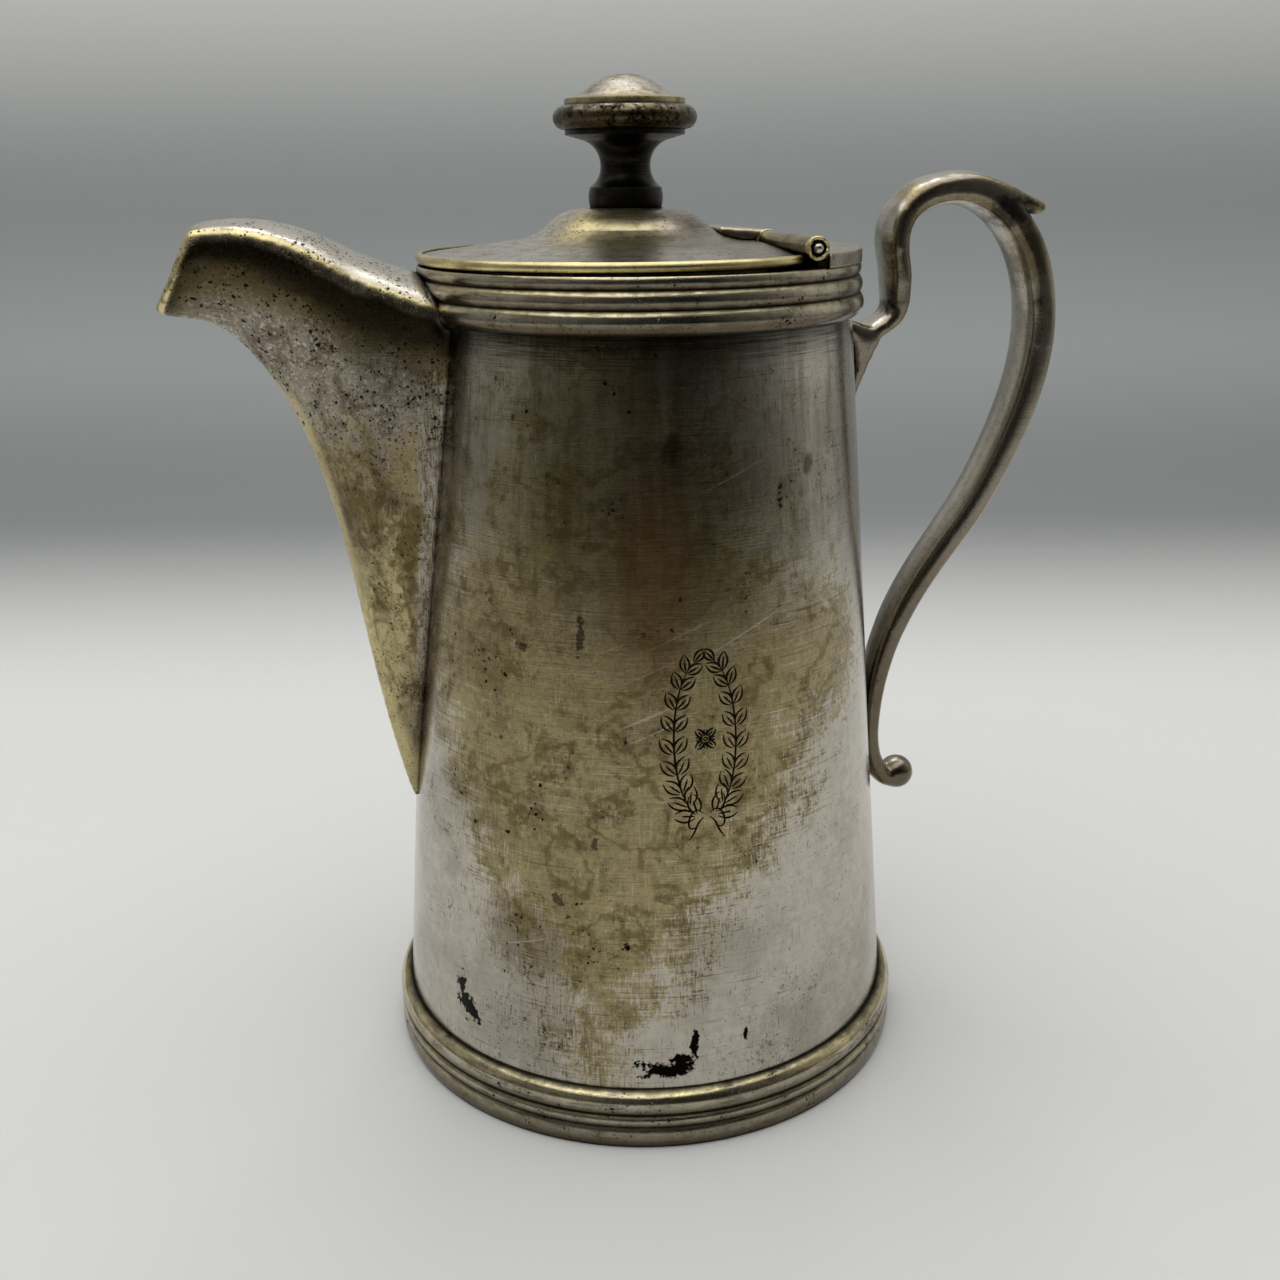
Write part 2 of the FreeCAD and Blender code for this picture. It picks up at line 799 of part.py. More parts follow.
def make_knob_stud():
    stud = document.addObject("Part::Cylinder", "knob_stud")
    stud.Label = "knob_stud"
    below = s.lid_sheet + s.washer_thickness + s.nut_height + s.solder_gap * 3
    above = s.stem_height + s.button_height + s.solder_gap * 3 + s.stud_grip
    stud.setExpression("Radius", s.stud_radius.text)
    stud.setExpression("Height", (below + above).text)
    stud.setExpression("Placement.Base.x", LID_AXIS.text)
    stud.setExpression("Placement.Base.z", (DOME_TOP - below).text)
    return stud


def make_knob_washer():
    body = new_body("knob_washer", LID_AXIS)
    hole = s.stud_radius + s.solder_gap
    high = DOME_TOP - s.lid_sheet - s.solder_gap
    low = high - s.washer_thickness
    turn(body, [(hole, low), (s.washer_radius, low), (s.washer_radius, high), (hole, high)])
    return body


def make_knob_nut():
    body = new_body("knob_nut", LID_AXIS)
    high = DOME_TOP - s.lid_sheet - s.washer_thickness - s.solder_gap * 2
    sketch = new_sketch(body, "XY_Plane", high - s.nut_height)
    corners = []
    for number in range(6):
        angle = math.radians(60 * number)
        corners.append((s.nut_radius * math.cos(angle), s.nut_radius * math.sin(angle)))
    draw(sketch, corners)
    draw_circle(sketch, ZERO, ZERO, s.stud_radius + s.solder_gap)
    pad(body, sketch, s.nut_height)
    return body


def make_handle_upper_leaf():
    """Hollow leaf under the rim: its seat meets the foot of the strap, its tip runs down the wall."""
    body = new_body("handle_upper_leaf")
    mount = s.mouth_height - s.upper_mount_drop
    half = s.handle_foot_thickness * 0.5
    seat = wall_at(mount) + s.leaf_stand
    lean_across = half * math.sin(FOOT_SLOPE)
    lean_up = half * math.cos(FOOT_SLOPE)
    top = mount + s.handle_foot_thickness
    tip = top - s.leaf_length
    belly = mount - s.leaf_stand
    belly_stand = s.leaf_stand * LEAF_BELLY
    inside = wall_at(mount) - s.wall_sheet
    sketch = new_sketch(body, "XZ_Plane")
    draw(sketch, [
        (inside, top),
        (wall_at(top) + s.leaf_shoulder, top),
        (seat - lean_across, mount + lean_up),
        (seat + lean_across, mount - lean_up),
        Through(wall_at(belly) + belly_stand, belly),
        (wall_at(tip) + s.solder_gap * 4, tip),
        (inside, tip),
    ])
    pad(body, sketch, s.leaf_width, symmetric=True)
    turn(body, inside_of_wall(s.solder_gap), "Groove")
    hollow = new_sketch(body, "XZ_Plane")
    hollow_tip = belly - s.leaf_stand
    draw(hollow, [
        (wall_at(mount), top - s.leaf_sheet),
        Through(wall_at(belly) + belly_stand - s.leaf_sheet, belly),
        (wall_at(hollow_tip), hollow_tip),
        (inside, hollow_tip),
        (inside, top - s.leaf_sheet),
    ])
    cut_through(body, hollow, two_sides=True)
    point = new_sketch(body, "YZ_Plane")
    end = tip - s.leaf_sheet
    for side in (1, -1):
        draw(point, [
            (s.leaf_width * 0.5 * side, mount - half),
            (s.leaf_width * LEAF_TIP * side, end),
            (s.leaf_width * side, end),
            (s.leaf_width * side, mount - half),
        ])
    cut_through(body, point, two_sides=True)
    return body


def make_handle_lower_pad():
    """Pad between the wall and the lower end of the strap."""
    body = new_body("handle_lower_pad")
    outer = wall_at(s.lower_mount_height) + s.lower_pad_thickness
    sketch = new_sketch(body, "YZ_Plane", outer)
    draw_circle(sketch, ZERO, s.lower_mount_height, s.lower_pad_radius)
    pad(body, sketch, s.lower_pad_thickness * 4, reverse=True)
    turn(body, inside_of_wall(s.solder_gap), "Groove")
    return body


def strap_section(place, normal, width, thickness, outer_crown, inner_crown):
    """Wire across the strap: a crowned outer face, two narrow sides and a crowned inner face."""
    across = FreeCAD.Vector(0, -1, 0) * (width * 0.5)
    outer = normal * (thickness * 0.5)
    outer_edge = normal * (thickness * 0.5 - outer_crown)
    inner = normal * (-thickness * 0.5)
    inner_edge = normal * (inner_crown - thickness * 0.5)
    return Part.Wire([
        Part.Arc(place - across + outer_edge, place + outer, place + across + outer_edge).toShape(),
        Part.LineSegment(place + across + outer_edge, place + across + inner_edge).toShape(),
        Part.Arc(place + across + inner_edge, place + inner, place - across + inner_edge).toShape(),
        Part.LineSegment(place - across + inner_edge, place - across + outer_edge).toShape(),
    ])


def strap(stations, first, last):
    """Loft a strap along a line through stations of (across, up, width, thickness)."""
    points = [FreeCAD.Vector(station[0], 0, station[1]) for station in stations]
    sections = []
    for number, station in enumerate(stations):
        if number == 0:
            along = first
        elif number == len(stations) - 1:
            along = last
        else:
            back = points[number] - points[number - 1]
            ahead = points[number + 1] - points[number]
            along = back * (ahead.Length / back.Length) + ahead * (back.Length / ahead.Length)
        along = FreeCAD.Vector(along).normalize()
        normal = FreeCAD.Vector(-along.z, 0, along.x)
        thickness = station[3]
        sections.append(strap_section(points[number], normal, station[2], thickness,
                                      thickness * OUTER_CROWN, thickness * INNER_CROWN))
    return Part.makeLoft(sections, True, False)


def make_handle():
    """Cast strap: foot, front leg, loop, long back leg and rolled end, with the thumb spur on top."""
    mount = s.mouth_height.value - s.upper_mount_drop.value
    low = s.lower_mount_height.value
    top = s.mouth_height.value + s.handle_top_rise.value
    rim = RIM_RADIUS.value
    wide = s.handle_width.value
    foot_wide = s.handle_foot_width.value
    end_wide = s.handle_end_width.value
    thick = s.handle_thickness.value
    foot_thick = s.handle_foot_thickness.value
    front_thick = s.handle_front_thickness.value
    end_thick = s.handle_end_thickness.value
    loop_thick = (thick + front_thick) * 0.5
    spur_thick = s.spur_thickness.value
    seat_gap = s.solder_gap.value / math.cos(FOOT_SLOPE)
    # centre line: at the leaf, up the front leg, over the crown, down the back and at the lower end
    foot = wall_at(mount).value + s.leaf_stand.value + seat_gap
    front = rim + s.front_leg_stand.value + front_thick * 0.5
    crown = top - (spur_thick + loop_thick) * 0.5 + spur_thick * SPUR_OVERLAP
    back = rim + s.handle_stand.value - thick * 0.5
    pad_outer = wall_at(low).value + s.lower_pad_thickness.value
    end = pad_outer + s.lower_pad_gap.value + end_thick * 0.5
    bulge = crown - s.handle_bulge_drop.value
    ball_reach = s.ball_reach.value
    ball_drop = s.ball_drop.value
    stations = []
    for out, up, widening, thickening in FRONT_LEG:
        width = foot_wide + (wide - foot_wide) * widening
        thickness = foot_thick + (front_thick - foot_thick) * thickening
        stations.append((foot + (front - foot) * out, mount + (crown - mount) * up, width, thickness))
    for out, down, thickening in LOOP:
        thickness = front_thick + (thick - front_thick) * thickening
        stations.append((front + (back - front) * out, crown + (bulge - crown) * down, wide, thickness))
    for out, up, growth in BACK_LEG:
        width = end_wide + (wide - end_wide) * growth
        thickness = end_thick + (thick - end_thick) * growth
        stations.append((end + (back - end) * out, low + (bulge - low) * up, width, thickness))
    for out, down, width, thickness in ROLLED_END:
        stations.append((end + ball_reach * out, low - ball_drop * down,
                         end_wide * width, end_thick * thickness))
    start = FreeCAD.Vector(math.cos(FOOT_SLOPE), 0, math.sin(FOOT_SLOPE))
    strap_solid = strap(stations, start, FreeCAD.Vector(1, 0, 0))
    spur_length = s.spur_length.value
    spur_root = rim + s.spur_stand.value - spur_length
    spur_stations = []
    for out, down, width, thickness in SPUR:
        spur_stations.append((spur_root + spur_length * out, top - s.spur_drop.value * down,
                              wide * width, spur_thick * thickness))
    spur = strap(spur_stations, FreeCAD.Vector(1, 0, 0), FreeCAD.Vector(1, 0, -SPUR_TIP_SLOPE))
    ball_centre = FreeCAD.Vector(end + ball_reach, 0, low - ball_drop)
    ball = Part.makeSphere(s.ball_radius.value, ball_centre)
    handle = document.addObject("Part::Feature", "handle")
    handle.Label = "handle"
    handle.Shape = strap_solid.fuse(spur).fuse(ball).removeSplitter()
    handle.Placement = FreeCAD.Placement()
    return handle


def make_all():
    return [
        make_body_wall(),
        make_base_plate(),
        make_foot_moulding(),
        make_rim_moulding(),
        make_spout(),
        make_hinge_plate(),
        make_hinge_knuckle("hinge_knuckle_near", -1),
        make_hinge_knuckle("hinge_knuckle_far", 1),
        make_hinge_pin(),
        make_handle(),
        make_handle_upper_leaf(),
        make_handle_lower_pad(),
        make_lid_dome(),
        make_lid_edge_wire(),
        make_lid_bezel(),
        make_lid_knuckle(),
        make_knob_stem(),
        make_knob_ring(),
        make_knob_cap(),
        make_knob_stud(),
        make_knob_washer(),
        make_knob_nut(),
    ]


def write_parts(pieces):
    """Check every object of the document and every piece, then write the pieces."""
    document.recompute()
    for item in document.Objects:
        if "Invalid" in item.State or "Error" in item.State:
            raise RuntimeError(f"{item.Label} failed: {item.State}")
    for piece in pieces:
        shape = piece.Shape
        if shape.isNull() or not shape.isValid() or not shape.Solids:
            raise RuntimeError(f"{piece.Label} has no valid solid")
        print(piece.Label, len(shape.Solids), round(shape.Volume, 1), shape.BoundBox)
    os.makedirs("parts", exist_ok=True)
    for piece in pieces:
        piece.Shape.exportStep(f"parts/{piece.Label}.step")


write_parts(make_all())
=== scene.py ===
"""Looks of a worn silver-plated coffee pot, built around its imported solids.

Metres. The pot stands on the floor at the origin, +Z is up, the spout points to -X, the handle
to +X and the engraved side faces -Y. Every piece keeps its place in its mesh.
"""

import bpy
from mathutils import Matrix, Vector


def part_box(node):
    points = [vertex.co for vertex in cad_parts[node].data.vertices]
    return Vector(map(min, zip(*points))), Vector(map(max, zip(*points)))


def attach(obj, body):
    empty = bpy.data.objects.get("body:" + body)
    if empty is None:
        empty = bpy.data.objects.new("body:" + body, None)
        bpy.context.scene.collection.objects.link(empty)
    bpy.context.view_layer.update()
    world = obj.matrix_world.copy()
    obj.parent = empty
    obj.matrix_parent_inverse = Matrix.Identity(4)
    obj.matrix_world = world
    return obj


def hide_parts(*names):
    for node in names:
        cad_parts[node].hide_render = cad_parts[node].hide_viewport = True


bl_info = {
    "name": "Worn silver coffee pot",
    "version": (1, 0, 0),
    "blender": (4, 5, 0),
    "location": "View3D > Sidebar > Coffee Pot",
    "description": "Finishes and details of a silver-plated coffee pot with a hinged lid",
    "category": "Object",
}

from dataclasses import dataclass, replace
from functools import partial
import math
from types import SimpleNamespace

import bmesh
import bpy
from bpy.props import FloatProperty, FloatVectorProperty, IntProperty, PointerProperty
from mathutils import Matrix, Vector

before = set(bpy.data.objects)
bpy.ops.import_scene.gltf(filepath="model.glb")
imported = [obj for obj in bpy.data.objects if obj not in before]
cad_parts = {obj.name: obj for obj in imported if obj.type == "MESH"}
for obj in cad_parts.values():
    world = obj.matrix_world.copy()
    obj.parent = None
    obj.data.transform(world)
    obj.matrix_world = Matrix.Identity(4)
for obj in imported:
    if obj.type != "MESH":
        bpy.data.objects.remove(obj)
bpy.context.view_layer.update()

MM = 0.001
TOUCH = 0.05 * MM
# How deep a soldered casting is let into the wall's sheet
SEAT_DEPTH = 0.9 * MM
# How far round the pouring lip the drawing out is felt
LIP_REACH = 14.0 * MM
# Way in which it is drawn out
LIP_WAY = Vector((-0.35, 0.0, -1.0))
# Slices along the spout in which its keel and top are found
SPOUT_SLICE = 2.0 * MM
# Distance over which its belly fades beside the wall and at the keel, and how high the belly sits
BELLY_FADE, KEEL_FADE, BELLY_RISE = 10 * MM, 2 * MM, 1.6
# How near the wall the rubbing of a casting fades
SEAM_FADE = 4 * MM
# How deep an engraved line is for its width
CUT_FLATNESS = 0.3
# Waves of a rolled tube lip: height, turns and shift
LIP_WAVES = ((1.0, 3, 1.0), (0.7, 7, 0.0), (0.5, 11, 2.0))
# How full the knob's cap is: 1 is an even ogee, more is rounder
CAP_FULLNESS = 1.3
# Grain of a casting's mesh, how many times its edges are rubbed, and how much fuller the saddle gets
SPOUT_GRAIN, SPOUT_RUBS = 0.48 * MM, 22
HANDLE_GRAIN, HANDLE_RUBS = 0.5 * MM, 14
SADDLE_GRAIN, SADDLE_RUBS, SADDLE_SWELL = 0.3 * MM, 16, 0.25 * MM
# Strainer: rows of holes, how many of them are three wide, and the drill
STRAINER_ROWS, STRAINER_WIDE_ROWS = 7, 4
DRILL_SIDES, DRILL_DEPTH = 24, 12 * MM
# Slow patches, blotches, crusts and grains that the wear follows, in millimetres
PATCH, BLOTCH, CRUST, GRAIN = 26.0, 9.0, 2.4, 0.8
# Photograph that the camera repeats: side of the frame and focal length, in its own pixels
PHOTO_SIDE = 1280
PHOTO_FOCAL = 1390
SENSOR = 36.0


def linear(hex_colour):
    """Linear RGB of an sRGB hex colour."""
    channels = [int(hex_colour[start:start + 2], 16) / 255 for start in (1, 3, 5)]
    return tuple(c / 12.92 if c <= 0.04045 else ((c + 0.055) / 1.055) ** 2.4 for c in channels)


def length(name, description, default):
    """Property that holds a length."""
    return FloatProperty(name=name, description=description, default=default, unit="LENGTH",
                         subtype="DISTANCE", precision=5)


def colour(name, description, hex_colour):
    """Property that holds a colour."""
    return FloatVectorProperty(name=name, description=description, default=linear(hex_colour),
                               subtype="COLOR", size=3, min=0.0, max=1.0)


def reach_at(node, height):
    """Largest distance of a node's points from the pot's axis at a height."""
    points = [v.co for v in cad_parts[node].data.vertices if abs(v.co.z - height) < TOUCH]
    return max(math.hypot(point.x, point.y) for point in points)


WALL_LOW, WALL_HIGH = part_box("body_wall")
WALL_BASE_RADIUS = reach_at("body_wall", WALL_LOW.z)
WALL_MOUTH_RADIUS = reach_at("body_wall", WALL_HIGH.z)
LID_AXIS_X = (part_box("knob_ring")[0].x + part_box("knob_ring")[1].x) / 2


def wall_radius(height):
    """Outer radius of the wall at a height."""
    share = (height - WALL_LOW.z) / (WALL_HIGH.z - WALL_LOW.z)
    return WALL_BASE_RADIUS + (WALL_MOUTH_RADIUS - WALL_BASE_RADIUS) * share


# Sizes and colours that a user would change


class PotSizes(bpy.types.PropertyGroup):
    """Real sizes of the details that the solids leave out."""
    wall_sheet: length("Wall sheet", "Thickness of the wall's sheet", 1.2 * MM)
    wall_segments: IntProperty(name="Wall segments", description="Faces round the wall", default=192)
    wall_rows: IntProperty(name="Wall rows", description="Faces up the wall", default=60)
    strainer_radius: length("Strainer hole", "Radius of a hole behind the spout", 2.0 * MM)
    strainer_pitch: length("Strainer pitch", "Distance between rows of holes", 7.0 * MM)
    strainer_column: length("Strainer column", "Distance between columns of holes", 6.5 * MM)
    strainer_drop: length("Strainer drop", "From the mouth down to the first row", 22.3 * MM)
    ornament_height: length("Ornament height", "Height of the engraved wreath", 37.0 * MM)
    ornament_width: length("Ornament width", "Width of the engraved wreath", 16.5 * MM)
    ornament_middle: length("Ornament middle", "Height of its middle above the table", 85.0 * MM)
    foot_groove_upper: length("Upper foot groove", "Height of a groove of the foot", 7.4 * MM)
    foot_groove_lower: length("Lower foot groove", "Height of a groove of the foot", 4.7 * MM)
    rim_groove_upper: length("Upper rim groove", "From the mouth down to a groove of the rim", 2.3 * MM)
    rim_groove_lower: length("Lower rim groove", "From the mouth down to a groove of the rim", 5.7 * MM)
    handle_swell: length("Handle swell", "How much fuller the rubbed casting is than its solid", 0.7 * MM)
    spout_swell: length("Spout swell", "How much fuller the rubbed casting is than its solid", 0.9 * MM)
    lip_pull: length("Lip pull", "How far the pouring lip is drawn down", 1.9 * MM)
    spout_belly: length("Spout belly", "How far the spout's sides are filled out", 0.9 * MM)
    cut_width: length("Cut width", "Width of an engraved line at its widest", 0.60 * MM)
    tube_lip: length("Tube lip", "Radius of the rolled lip of a hinge tube", 0.35 * MM)
    cap_edge: length("Cap edge", "Height of the upright edge of the knob's cap", 1.1 * MM)


class PotFinish(bpy.types.PropertyGroup):
    """Colours of the metals; some are also painted as light and shade."""
    plate: colour("Plate", "Silver plate, hand polished", "#cec8bb")
    bare: colour("Bare metal", "Yellow metal where the plate is worn through", "#ab9d71")
    # also painted as highlight on the reeds' crests and the lid's front shoulder
    bright: colour("Rubbed edge", "Yellow metal kept bright by hands", "#dfd09a")
    # also painted as dark reflection in a band under the spout's top edge
    olive: colour("Olive stain", "Old stain on the bare metal", "#5e5130")
    yellow: colour("Yellow stain", "Small stain high on the front", "#8d8132")
    # painted reflection: a reddish streak in the dark patch high on the wall's front
    reddish_reflection: colour("Copper stain", "Reddish streak left by liquid", "#70482a")
    dull: colour("Dull plate", "Brownish plate that pits have dulled", "#655b4e")
    # also painted as shade on the reeds' undersides and near the table, the knob ring's lower half and
    # the handle's sides, and as dark reflection high on the wall's front
    tarnish_and_shade: colour("Tarnish", "Brown film on rarely polished metal", "#4d402a")
    # also painted as shade: along the grooves, under the rim, in the hinge's web and round its pin, and
    # under the spout's top edge
    grime_and_shade: colour("Grime", "Old polish and soot in the corners", "#0d0b08")


class PotStage(bpy.types.PropertyGroup):
    """Camera, floor and light."""
    camera_distance: length("Camera distance", "From the pot's axis, along the floor", 288.5 * MM)
    camera_height: length("Camera height", "Above the floor", 186.5 * MM)
    camera_side: FloatProperty(name="Camera side", description="Turn of the view round the pot",
                               default=math.radians(14.0), subtype="ANGLE", unit="ROTATION")
    camera_pitch: FloatProperty(name="Camera pitch", description="Tilt of the view below the horizon",
                                default=math.radians(18.72), subtype="ANGLE", unit="ROTATION")
    camera_yaw: FloatProperty(name="Camera yaw", description="Turn of the view off the axis",
                              default=math.radians(-0.09), subtype="ANGLE", unit="ROTATION")
    camera_roll: FloatProperty(name="Camera roll", description="Lean of the view",
                               default=math.radians(-0.55), subtype="ANGLE", unit="ROTATION")
    floor_colour: colour("Floor", "Pale floor", "#dcdcd9")
    # painted shade where the floor turns up, and painted light high on the backdrop
    turn_shade_colour: colour("Turn", "Grey where the floor turns up", "#868888")
    backdrop_colour: colour("Backdrop", "Grey backdrop behind the pot", "#a0a4a3")
    top_light_colour: colour("Backdrop top", "Paler backdrop above the pot", "#dcdcda")


# Materials


# What the word after a node's kind sets, as in Math.MULTIPLY
MODES = {"Math": "operation", "VectorMath": "operation", "MapRange": "interpolation_type",
         "Mix": "data_type"}


def add(tree, kind, *values, inputs=None, **settings):
    """Add a node with its settings, set or link its inputs, and give its first output in use."""
    kind, _, mode = kind.partition(".")
    node = tree.nodes.new("ShaderNode" + kind)
    if mode:
        setattr(node, MODES[kind], mode)
    for name, value in settings.items():
        setattr(node, name, value)
    pairs = list(zip([socket for socket in node.inputs if socket.enabled], values))
    pairs += [(node.inputs[name], value) for name, value in (inputs or {}).items()]
    for socket, value in pairs:
        if isinstance(value, bpy.types.NodeSocket):
            tree.links.new(value, socket)
        else:
            socket.default_value = value
    in_use = [socket for socket in node.outputs if socket.enabled]
    return in_use[0] if in_use else node


def new_tree(name):
    """Material and its empty node tree."""
    material = bpy.data.materials.new(name)
    material.use_nodes = True
    material.node_tree.nodes.clear()
    return material, material.node_tree


def rgba(rgb, share=1.0):
    """Opaque colour, darkened to a share."""
    return (*[channel * share for channel in rgb], 1.0)


@dataclass
class Wear:
    """How a piece was made and how its plate has aged: shares from 0 to 1, lengths in millimetres.

    bare, blush: plate worn through in patches, and thinly all over
    olive, bare_dull: stains on the bare metal, and how much rougher it is
    film: brown film where it is thinnest and thickest
    pits, pit_cell, pit_low: share of pits, how far apart, and the height under which they fade
    specks, gloss, hair: dark specks, roughness of the plate, hairline scratches
    brush, axis_x: way of the polishing, and the axis of a turned piece, in metres
    edge_round, edge_wear, edge_bright: reach of an edge, how bare and how bright it is
    hollow, dirt, grooves: reach of a hollow, how black it is, and heights of grooves painted black, as
    old polish with painted shade
    cast: edges are those that the casting was rubbed at
    """
    bare: float = 0.2
    blush: float = 0.0
    olive: float = 0.75
    bare_dull: float = 0.06
    film: tuple = (0.0, 0.3)
    pits: float = 0.0
    pit_cell: float = 1.6
    pit_low: float = 0.0
    specks: float = 0.5
    gloss: float = 0.24
    brush: str = "ring"
    axis_x: float = 0.0
    edge_round: float = 0.5
    edge_wear: float = 1.0
    edge_bright: float = 0.8
    hair: float = 0.45
    hollow: float = 3.0
    dirt: float = 0.5
    grooves: tuple = ()
    cast: bool = False


# Streaks of hand polishing and scratches across them: how far they run along X, Y and Z, in millimetres.
# Real ones are finer: these are drawn about 0.3 mm wide so that they show.
RING_RUN, RING_WIDTH = 12.0, 0.3
STREAKS = {
    "ring": ((RING_RUN, RING_RUN, RING_WIDTH), (0.35, 0.35, 9.0)),
    "up": ((0.35, 0.35, 9.0), (RING_RUN, RING_RUN, RING_WIDTH)),
    "along": ((0.35, 9.0, 0.35), (0.5, 0.5, 0.5)),
}


def metal_ground(tree, wear):
    """What every metal reads: place in millimetres, way round, worn edges, dirty hollows and patches."""
    node = partial(add, tree)
    g = SimpleNamespace(node=node)
    place = node("TexCoord").node.outputs["Object"]
    g.mm = node("VectorMath.SCALE", place, 1 / MM)
    g.x, g.y, g.height = node("SeparateXYZ", g.mm).node.outputs
    g.across = node("Math.SUBTRACT", g.x, wear.axis_x / MM)
    g.radius = node("VectorMath.LENGTH", node("CombineXYZ", g.across, g.y))
    g.angle = node("Math.ARCTAN2", g.across, node("Math.MULTIPLY", g.y, -1.0))
    # how far a point lies outside the wall's cone
    taper = (WALL_BASE_RADIUS - WALL_MOUTH_RADIUS) / (WALL_HIGH.z - WALL_LOW.z)
    g.outside = node("Math.MULTIPLY_ADD", g.height, taper,
                     node("Math.SUBTRACT", g.radius, WALL_BASE_RADIUS / MM))
    # edges: where a rounded normal leaves the face's own, or where a casting was rubbed down
    g.normal = node("NewGeometry").node.outputs["Normal"]
    g.up_facing = node("SeparateXYZ", g.normal).node.outputs[2]
    if wear.cast:
        depth = node("Attribute", attribute_name="rubbed").node.outputs["Fac"]
        g.edge = node("MapRange.SMOOTHSTEP", depth, 0.05, 0.32)
    else:
        round_normal = node("Bevel", wear.edge_round * MM, samples=3)
        facing = node("VectorMath.DOT_PRODUCT", round_normal, g.normal)
        g.edge = node("MapRange.SMOOTHSTEP", facing, 0.985, 0.86)
        g.normal = round_normal
    open_share = node("AmbientOcclusion", samples=6,
                      inputs={"Distance": wear.hollow * MM}).node.outputs["AO"]
    g.hollow = node("Math.SUBTRACT", 1.0, open_share)
    # streaks along the polishing and scratches across it
    if wear.brush == "disc":
        rings = node("VectorMath.DIVIDE", node("CombineXYZ", g.across, g.y, g.radius),
                     (RING_RUN, RING_RUN, RING_WIDTH))
        g.streak = node("TexNoise", rings, 1.0, 4.0, 0.7)
        g.cross = node("TexNoise", g.mm, 1 / 0.5, 3.0, 0.7)
    else:
        g.streak, g.cross = [
            node("TexNoise", node("VectorMath.DIVIDE", g.mm, runs), 1.0, 4.0, 0.7)
            for runs in STREAKS[wear.brush]]
    g.patch = node("TexNoise", g.mm, 1 / PATCH, 4.0, 0.55)
    g.blotch = node("TexNoise", g.mm, 1 / BLOTCH, 7.0, 0.66, inputs={"Distortion": 0.4})
    g.crust = node("TexNoise", g.mm, 1 / CRUST, 4.0, 0.6)
    g.grain = node("TexNoise", g.mm, 1 / GRAIN, 4.0, 0.75)
    # where plate goes first: a blend of blotches, polishing, scratches and grain
    worn = node("Math.MULTIPLY_ADD", g.grain, 0.16, node("Math.MULTIPLY", g.blotch, 0.48))
    worn = node("Math.MULTIPLY_ADD", g.streak, 0.2, worn)
    g.worn = node("Math.MULTIPLY_ADD", g.cross, 0.16, worn)
    return g


def ragged(g, value, noise, reach):
    """A value shaken by a noise, over a reach."""
    return g.node("Math.MULTIPLY_ADD", g.node("Math.SUBTRACT", noise, 0.5), reach, value)


def distance_from(g, value, level):
    """How far a value is from a level."""
    return g.node("Math.ABSOLUTE", g.node("Math.SUBTRACT", value, level))


def pit_cells(g, cell, share):
    """Uneven pits of mixed sizes, about a cell apart, crowded in some places."""
    node = g.node
    bent = node("TexNoise", g.mm, 1.6 / cell, 2.0, 0.5).node.outputs["Color"]
    place = node("VectorMath.MULTIPLY_ADD", bent, (0.9 * cell,) * 3, g.mm)
    cells = node("TexVoronoi", place, 1 / cell)
    chance = node("SeparateColor", cells.node.outputs["Color"])
    crowd = node("Math.MULTIPLY", chance, node("MapRange", g.blotch, 0.38, 0.62, 0.70, 1.12))
    size = node("MapRange", crowd, 1.0 - share, 1.05, 0.0, 0.42)
    return node("MapRange", node("Math.SUBTRACT", cells, size), 0.03, -0.06)


def specks(g, size, share):
    """Ragged dark specks, crowded in some places."""
    node = g.node
    dots = node("TexNoise", g.mm, 1 / size, 2.0, 0.6)
    crowd = node("MapRange", g.blotch, 0.36, 0.62, -0.05, 0.05)
    return node("MapRange", node("Math.ADD", dots, crowd), 0.65, 0.70, 0.0, share)


def stain_lines(g, size):
    """Soft dark outlines that drying stains leave: the level lines of slow patches."""
    node = g.node
    pools = node("TexNoise", g.mm, 1 / size, 3.0, 0.55, inputs={"Distortion": 0.3})
    width = node("MapRange", g.crust, 0.38, 0.66, 0.002, 0.09)
    off = node("Math.DIVIDE", distance_from(g, pools, 0.56), width)
    return node("Math.SUBTRACT", 1.0, off, use_clamp=True)


def spot(g, around, height, wide, tall, torn=0.4, strength=1.0):
    """Oval mark at an angle round the pot and a height, its outline torn or soft."""
    node = g.node
    turned = node("Math.SUBTRACT", g.angle, math.radians(around))
    side = node("Math.MULTIPLY", turned, wall_radius(height * MM) / MM / wide)
    up = node("Math.DIVIDE", node("Math.SUBTRACT", g.height, height), tall)
    return oval(g, side, up, torn, strength)


def oval(g, side, up, torn, strength):
    """Mask of an oval by its two shares: 1 in its middle, its outline torn or soft."""
    outwards = g.node("VectorMath.LENGTH", g.node("CombineXYZ", side, up))
    outwards = ragged(g, ragged(g, outwards, g.crust, torn * 5.0), g.grain, torn * 2.5)
    return g.node("MapRange.SMOOTHSTEP", outwards, 1.15, 0.95 - 0.85 * (1 - torn), 0.0, strength)


def side_spot(g, x, height, wide, tall, torn=0.4, strength=1.0):
    """Oval mark on the spout or the handle, by its distance out and its height."""
    node = g.node
    side = node("Math.DIVIDE", node("Math.SUBTRACT", g.x, x), wide)
    up = node("Math.DIVIDE", node("Math.SUBTRACT", g.height, height), tall)
    return oval(g, side, up, torn, strength)


